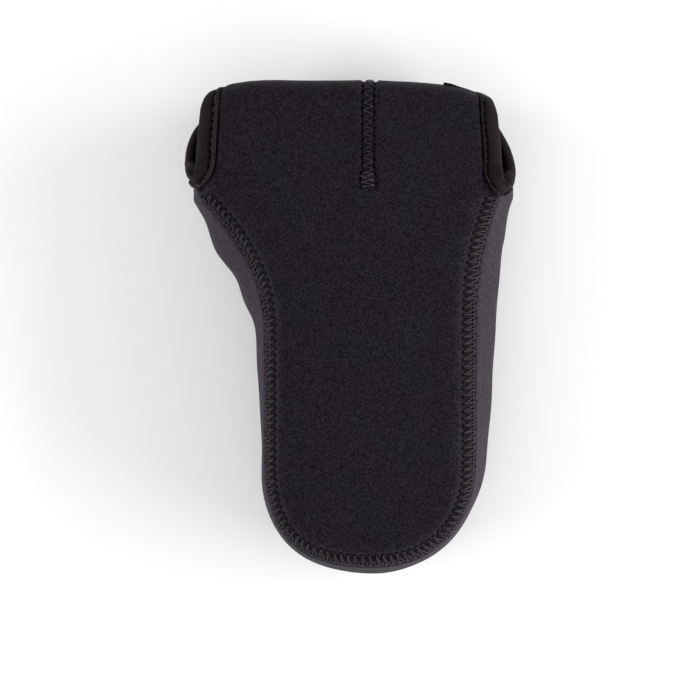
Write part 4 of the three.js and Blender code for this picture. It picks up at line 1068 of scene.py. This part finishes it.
def stretch_cloth(name, dark, light, pale):
    finish, nodes, links, shader = new_finish(name, 0.78, 0.08)
    give_sheen(shader, 0.03, 0.5, (1.0, 0.9, 0.88))
    maths = maths_with(nodes, links)
    flat, slanted = cloth_places(nodes, links, math.radians(62), (1, 1, 1))
    ribs = pattern(nodes, links, "ShaderNodeTexWave", slanted, Scale=0.36, Distortion=1.2, Detail=2)
    grain = pattern(nodes, links, "ShaderNodeTexNoise", flat, Scale=1.1, Detail=3)
    edge = nodes.new("ShaderNodeSeparateXYZ")
    links.new(flat, edge.inputs[0])
    lip = maths("LESS_THAN", edge.outputs[0], LIP_RUN)
    weave = nodes.new("ShaderNodeMix")
    links.new(maths("MULTIPLY_ADD", lip, -0.6, 0.85), weave.inputs[0])
    links.new(ribs, weave.inputs[2])
    links.new(grain, weave.inputs[3])
    # Painted highlight, in part: the lip's tone is raised for the light along its raised edge
    paler = maths("MULTIPLY_ADD", lip, LIP_PALER, weave.outputs[0])
    colour = tones(nodes, links, paler, (0.25, dark), (0.75, light), (1.0, pale))
    # The binding's colour is darkened by the painted shade on the points
    links.new(darkened_by_painted_shade(nodes, links, colour), shader.inputs["Base Color"])
    raise_threads(nodes, links, shader, weave.outputs[0], 0.55, 0.0003)
    return finish


binding_cloth = stretch_cloth("stretch binding", (0.004, 0.0022, 0.0026), (0.0125, 0.0082, 0.0092),
                              (0.034, 0.026, 0.028))
opening_parts = (("left_opening_band", 0, lip_from + 1, "left_opening_binding"),
                 ("lip_band", lip_from, lip_to + 1, "lip_binding"),
                 ("right_opening_band", lip_to, None, "right_opening_binding"))
for name, first, last, node in opening_parts:
    piece = band(name, opening_run, first, last, foot_near, INSIDE_SHADE)
    piece.data.materials.append(binding_cloth)
    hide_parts(node)
    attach(piece, "body")
side_lengths = np.concatenate([np.linspace(BAND_END, FOLD_Y, 5), np.linspace(FOLD_Y, FLAP_START, 9)[1:],
                               np.linspace(FLAP_START, FLAP_END - FLAP_CORNER, 12)[1:]])
narrowed = smooth_between(side_lengths, FOLD_Y + 4, FLAP_START + 10)
lowered = smooth_between(side_lengths, FLAP_START, FLAP_START + 10)
side_heights = leg_heights(side_lengths) + (FLAP_BAND - FOLD_HEIGHT) * lowered
corner_turns = np.linspace(0, math.pi / 2, 9)[1:]


def flap_side_keys(side):
    widths = LEG_WIDTH[side] + (FLAP_BAND - LEG_WIDTH[side]) * narrowed
    return front_keys(side, side_lengths, widths, side_heights)


def flap_corner_keys(side):
    l = FLAP_END - FLAP_CORNER + FLAP_CORNER * np.sin(corner_turns)
    half = FLAP_HALF - FLAP_CORNER * (1 - np.cos(corner_turns))
    place = front_point(side * half, l)
    out = np.stack([side * np.cos(corner_turns), np.zeros(len(l)), -np.sin(corner_turns)], axis=1)
    return np.concatenate([place, out, np.tile((0, 1, 0, FLAP_BAND, FLAP_BAND, 0), (len(l), 1))], axis=1)


flap_bottom_x = np.linspace(-FLAP_HALF + FLAP_CORNER, FLAP_HALF - FLAP_CORNER, 12)[1:-1]
flap_bottom = straight_keys(front_point(flap_bottom_x, np.full(len(flap_bottom_x), FLAP_END)), -1, FLAP_BAND)
flap_keys = np.concatenate([flap_side_keys(LEFT), flap_corner_keys(LEFT), flap_bottom,
                            flap_corner_keys(RIGHT)[::-1], flap_side_keys(RIGHT)[::-1]])
flap_run = bound_run(flap_keys, BAND_STEP)
flap_band = band("flap_band", flap_run, 0, None, np.zeros(len(flap_run[4])), 0)
flap_band.data.materials.append(binding_cloth)
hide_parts("flap_binding")
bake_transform(flap_band)


STITCH_RISE = ((0.05, -0.8), (0.14, -0.35), (0.28, -0.02), (0.5, 0.06),
               (0.72, -0.02), (0.86, -0.35), (0.95, -0.8))


# Running stitches of the bindings lie in the valley beside the lip, one between every two holes
def running_stitches(run, first, last):
    place, out, normal, sizes, at = run
    paths = []
    for k in range(int(at[first] / BAND_PITCH) + 1, int(at[last] / BAND_PITCH)):
        path = []
        for share, rise in STITCH_RISE:
            i = np.interp((k + share) * BAND_PITCH, at, np.arange(len(at)))
            j = min(int(i), len(at) - 2)
            v = i - j
            e, o, m, s = (a[j] * (1 - v) + a[j + 1] * v for a in (place, out, normal, sizes))
            path.append(bound_place(e, o, m, s[2], VALLEY_U * s[0], VALLEY_N * s[1] + rise))
        paths.append(path)
    return paths


BINDING_THREAD = 0.24
dull_thread = twisted("dull binding thread", (0.003, 0.0026, 0.003), (0.009, 0.008, 0.0092), 0.6)
last_row = len(opening_run[4]) - 1
for name, first, last, node in (("left_opening_stitches", 0, lip_from, "left_opening_thread"),
                                ("lip_stitches", lip_from, lip_to, "lip_thread"),
                                ("right_opening_stitches", lip_to, last_row, "right_opening_thread")):
    stitches = thread_tubes(name, running_stitches(opening_run, first, last), BINDING_THREAD)
    stitches.data.materials.append(dull_thread)
    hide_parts(node)
    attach(stitches, "body")
flap_stitch_paths = running_stitches(flap_run, 0, len(flap_run[4]) - 1)
flap_stitches = thread_tubes("flap_stitches", flap_stitch_paths, BINDING_THREAD)
flap_stitches.data.materials.append(dull_thread)
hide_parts("flap_thread")
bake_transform(flap_stitches)

# Tape tab: a short end of black woven tape, blank.
# It lies flat on the flap just under the fold, and its upper end shows over the top edge.
TAB_LEFT, TAB_RIGHT, TAB_TOP, TAB_FOOT, TAB_THICK = 45.5, 55.0, -3.0, 11.0, 0.9
tab_x, tab_l = np.meshgrid(np.linspace(TAB_LEFT, TAB_RIGHT, 25),
                           FLAP_START + np.linspace(TAB_TOP, TAB_FOOT, 33))
tab_lift = SHEET / 2 + TAB_THICK + 0.15 - 0.9 * smooth_between(tab_x, TAB_LEFT + 2, TAB_RIGHT)
tab_places = front_point(tab_x, tab_l) + surface_normal(front_point, tab_x, tab_l) * tab_lift[..., None]
tab = shaped_grid("tape_tab", tab_places, np.stack([tab_x, tab_l], axis=-1))
give_thickness(tab, TAB_THICK)
tape = twisted("woven tape", (0.0014, 0.0012, 0.0015), (0.0055, 0.0048, 0.0058), 0.75, 0.05)
tab.data.materials.append(tape)
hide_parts("flap_tab")
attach(tab, "flap")

# Closure: a strip of hook tape sewn inside the flap and a strip of loop tape sewn on the lip's outside.
# Each is a woven ground with its hooks or its pile standing on it, sewn round by a rectangle of stitches.
PATCH_WIDTH, PATCH_LOW, PATCH_HIGH = 70.0, 23.5, 40.5
GROUND, PATCH_INSET, BOX_PITCH, BOX_THREAD = 0.7, 2.0, 2.8, 0.28
BOX_RISE = ((0.03, -0.4), (0.14, 0.05), (0.3, 0.3), (0.5, 0.36), (0.7, 0.3), (0.86, 0.05), (0.97, -0.4))
FLAP_INSIDE, FLAP_OUTSIDE = FLAP_Y - SHEET / 2, FLAP_Y + SHEET / 2
LIP_INSIDE, LIP_OUTSIDE = LIP_Y - SHEET / 2, LIP_Y + SHEET / 2


# Woven ground of a tape, its selvedges a little thicker, facing out along y
def tape_ground(name, face_y, facing):
    x, z = np.meshgrid(facing * np.linspace(PATCH_WIDTH / 2, -PATCH_WIDTH / 2, 71),
                       np.linspace(PATCH_LOW, PATCH_HIGH, 35))
    rim = np.minimum(PATCH_WIDTH / 2 - np.abs(x), np.minimum(z - PATCH_LOW, PATCH_HIGH - z))
    selvedge = 0.15 * np.exp(-((rim - 0.9) / 0.6) ** 2)
    y = face_y + facing * (GROUND + selvedge - 0.25 * np.exp(-((rim - PATCH_INSET) / 0.5) ** 2))
    piece = shaped_grid(name, np.stack([x, y, z], axis=-1), np.stack([x, z], axis=-1))
    give_thickness(piece, GROUND - 0.1)
    return piece


def stitch_box(face_y, facing):
    half, low, high = PATCH_WIDTH / 2 - PATCH_INSET, PATCH_LOW + PATCH_INSET, PATCH_HIGH - PATCH_INSET
    corners = np.array([(-half, low), (half, low), (half, high), (-half, high), (-half, low)])
    paths = []
    for a, b in zip(corners[:-1], corners[1:]):
        count = int(round(np.linalg.norm(b - a) / BOX_PITCH))
        for k in range(count):
            path = []
            for share, rise in BOX_RISE:
                x, z = a + (b - a) * (k + share) / count
                path.append((x, face_y + facing * rise, z))
            paths.append(path)
    return paths


hook_tape_finish = twisted("hook tape", (0.006, 0.005, 0.0062), (0.016, 0.0145, 0.0168), 0.5)
loop_tape_finish = twisted("loop pile", (0.007, 0.006, 0.0075), (0.02, 0.018, 0.021), 0.85)
hook_ground = tape_ground("hook_tape_ground", FLAP_INSIDE, -1)
HOOK_ROW, HOOK_COLUMN, HOOK_RADIUS = 1.25, 1.5, 0.14
PILE_ROW, PILE_COLUMN, PILE_RADIUS = 0.75, 1.0, 0.1
HOOK_SHAPE = ((0, 0), (0, 0.45), (0.08, 0.8), (0.32, 0.92), (0.5, 0.7), (0.52, 0.55))
hooks = []
for row, z in enumerate(np.arange(PATCH_LOW + 3.2, PATCH_HIGH - 2.9, HOOK_ROW)):
    for column, x in enumerate(np.arange(-PATCH_WIDTH / 2 + 3.2, PATCH_WIDTH / 2 - 2.9, HOOK_COLUMN)):
        at, lean = x + HOOK_COLUMN / 2 * (row % 2), 1 if (row + column) % 2 == 0 else -1
        foot = FLAP_INSIDE - GROUND + 0.1
        hooks.append([(at + aside * lean, foot - tall, z) for aside, tall in HOOK_SHAPE])
hook_pile = thread_tubes("hook_tape_hooks", hooks, HOOK_RADIUS, sides=4)
loop_ground = tape_ground("loop_tape_ground", LIP_OUTSIDE, 1)
loops = []
for row, z in enumerate(np.arange(PATCH_LOW + 3.1, PATCH_HIGH - 2.8, PILE_ROW)):
    for column, x in enumerate(np.arange(-PATCH_WIDTH / 2 + 3.1, PATCH_WIDTH / 2 - 2.8, PILE_COLUMN)):
        turn = 2.4 * row + 1.7 * column + 0.9 * math.sin(3.1 * row + 5.7 * column)
        tall = 0.75 + 0.2 * math.sin(1.3 * row + 2.9 * column)
        reach = np.array([math.cos(turn), 0, math.sin(turn)]) * 0.5
        foot = np.array([x + 0.3 * math.sin(7.7 * column + row), LIP_OUTSIDE + GROUND - 0.12, z])
        bend = (0, tall * 0.55, 0)
        loops.append([foot - reach * 0.7, foot - reach + bend, foot + (0, tall, 0),
                      foot + reach + bend, foot + reach * 0.7])
loop_pile = thread_tubes("loop_tape_pile", loops, PILE_RADIUS, sides=3)
for piece, finish, slot, body in ((hook_ground, hook_tape_finish, "hook_tape", "flap"),
                                  (hook_pile, hook_tape_finish, "hook_tape", "flap"),
                                  (loop_ground, loop_tape_finish, "loop_tape", "body"),
                                  (loop_pile, loop_tape_finish, "loop_tape", "body")):
    piece.data.materials.append(finish)
    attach(piece, body)
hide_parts("hook_patch")
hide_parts("loop_patch")
hook_stitches = stitch_box(FLAP_OUTSIDE, 1) + stitch_box(FLAP_INSIDE - GROUND, -1)
loop_stitches = stitch_box(LIP_INSIDE, -1) + stitch_box(LIP_OUTSIDE + GROUND, 1)
hook_box = thread_tubes("hook_tape_stitches", hook_stitches, BOX_THREAD)
loop_box = thread_tubes("loop_tape_stitches", loop_stitches, BOX_THREAD)
for piece, node, body in ((hook_box, "hook_patch_thread", "flap"), (loop_box, "loop_patch_thread", "body")):
    piece.data.materials.append(nylon_thread)
    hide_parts(node)
    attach(piece, body)

# Table top and studio light: a pale floor, an even white surround, a broad lamp at each side and a
# weak one overhead. The camera looks down on the front panel, from a little to the right of it.
CAMERA_LEAN = math.radians(4.7)
CAMERA_FAR, CAMERA_LENS = 1.5, 160.7
FLOOR_TONE, SURROUND = 0.94, 0.45
TARGET = np.array([0.0020, -0.01086, 0.086])
bpy.ops.object.select_all(action="DESELECT")
bpy.ops.mesh.primitive_plane_add(size=6)
floor = bpy.context.object
floor.name = "table_top"
pale = bpy.data.materials.new("pale table")
pale.use_nodes = True
pale.node_tree.nodes["Principled BSDF"].inputs["Base Color"].default_value = (*[FLOOR_TONE] * 3, 1)
pale.node_tree.nodes["Principled BSDF"].inputs["Roughness"].default_value = 0.9
floor.data.materials.append(pale)
world = bpy.data.worlds.new("studio")
world.use_nodes = True
world.node_tree.nodes["Background"].inputs["Color"].default_value = (1, 1, 1, 1)
world.node_tree.nodes["Background"].inputs["Strength"].default_value = SURROUND
bpy.context.scene.world = world
for name, place, long, high, power in (("right_lamp", (1.0, -0.05, 0.42), 1.2, 0.6, 17),
                                       ("left_lamp", (-1.0, -0.05, 0.42), 1.2, 0.6, 11),
                                       ("top_lamp", (0.0, -0.4, 1.3), 0.8, 0.8, 2)):
    bpy.ops.object.light_add(type="AREA", location=place)
    lamp = bpy.context.object
    lamp.name = name
    lamp.data.shape = "RECTANGLE"
    lamp.data.size, lamp.data.size_y = long, high
    lamp.data.energy = power
    aim = np.array([0, 0, 0.04]) - np.array(place)
    lamp.rotation_euler = (math.acos(-aim[2] / np.linalg.norm(aim)), 0, math.atan2(-aim[0], aim[1]))
bpy.context.scene.view_settings.view_transform = "Standard"
back = np.array([math.sin(CAMERA_LEAN), 0, math.cos(CAMERA_LEAN)])
bpy.ops.object.camera_add(location=tuple(TARGET + back * CAMERA_FAR), rotation=(0, CAMERA_LEAN, 0))
camera = bpy.context.object
camera.data.sensor_width = 36
camera.data.lens = CAMERA_LENS
camera.data.clip_end = 20
bpy.context.scene.camera = camera
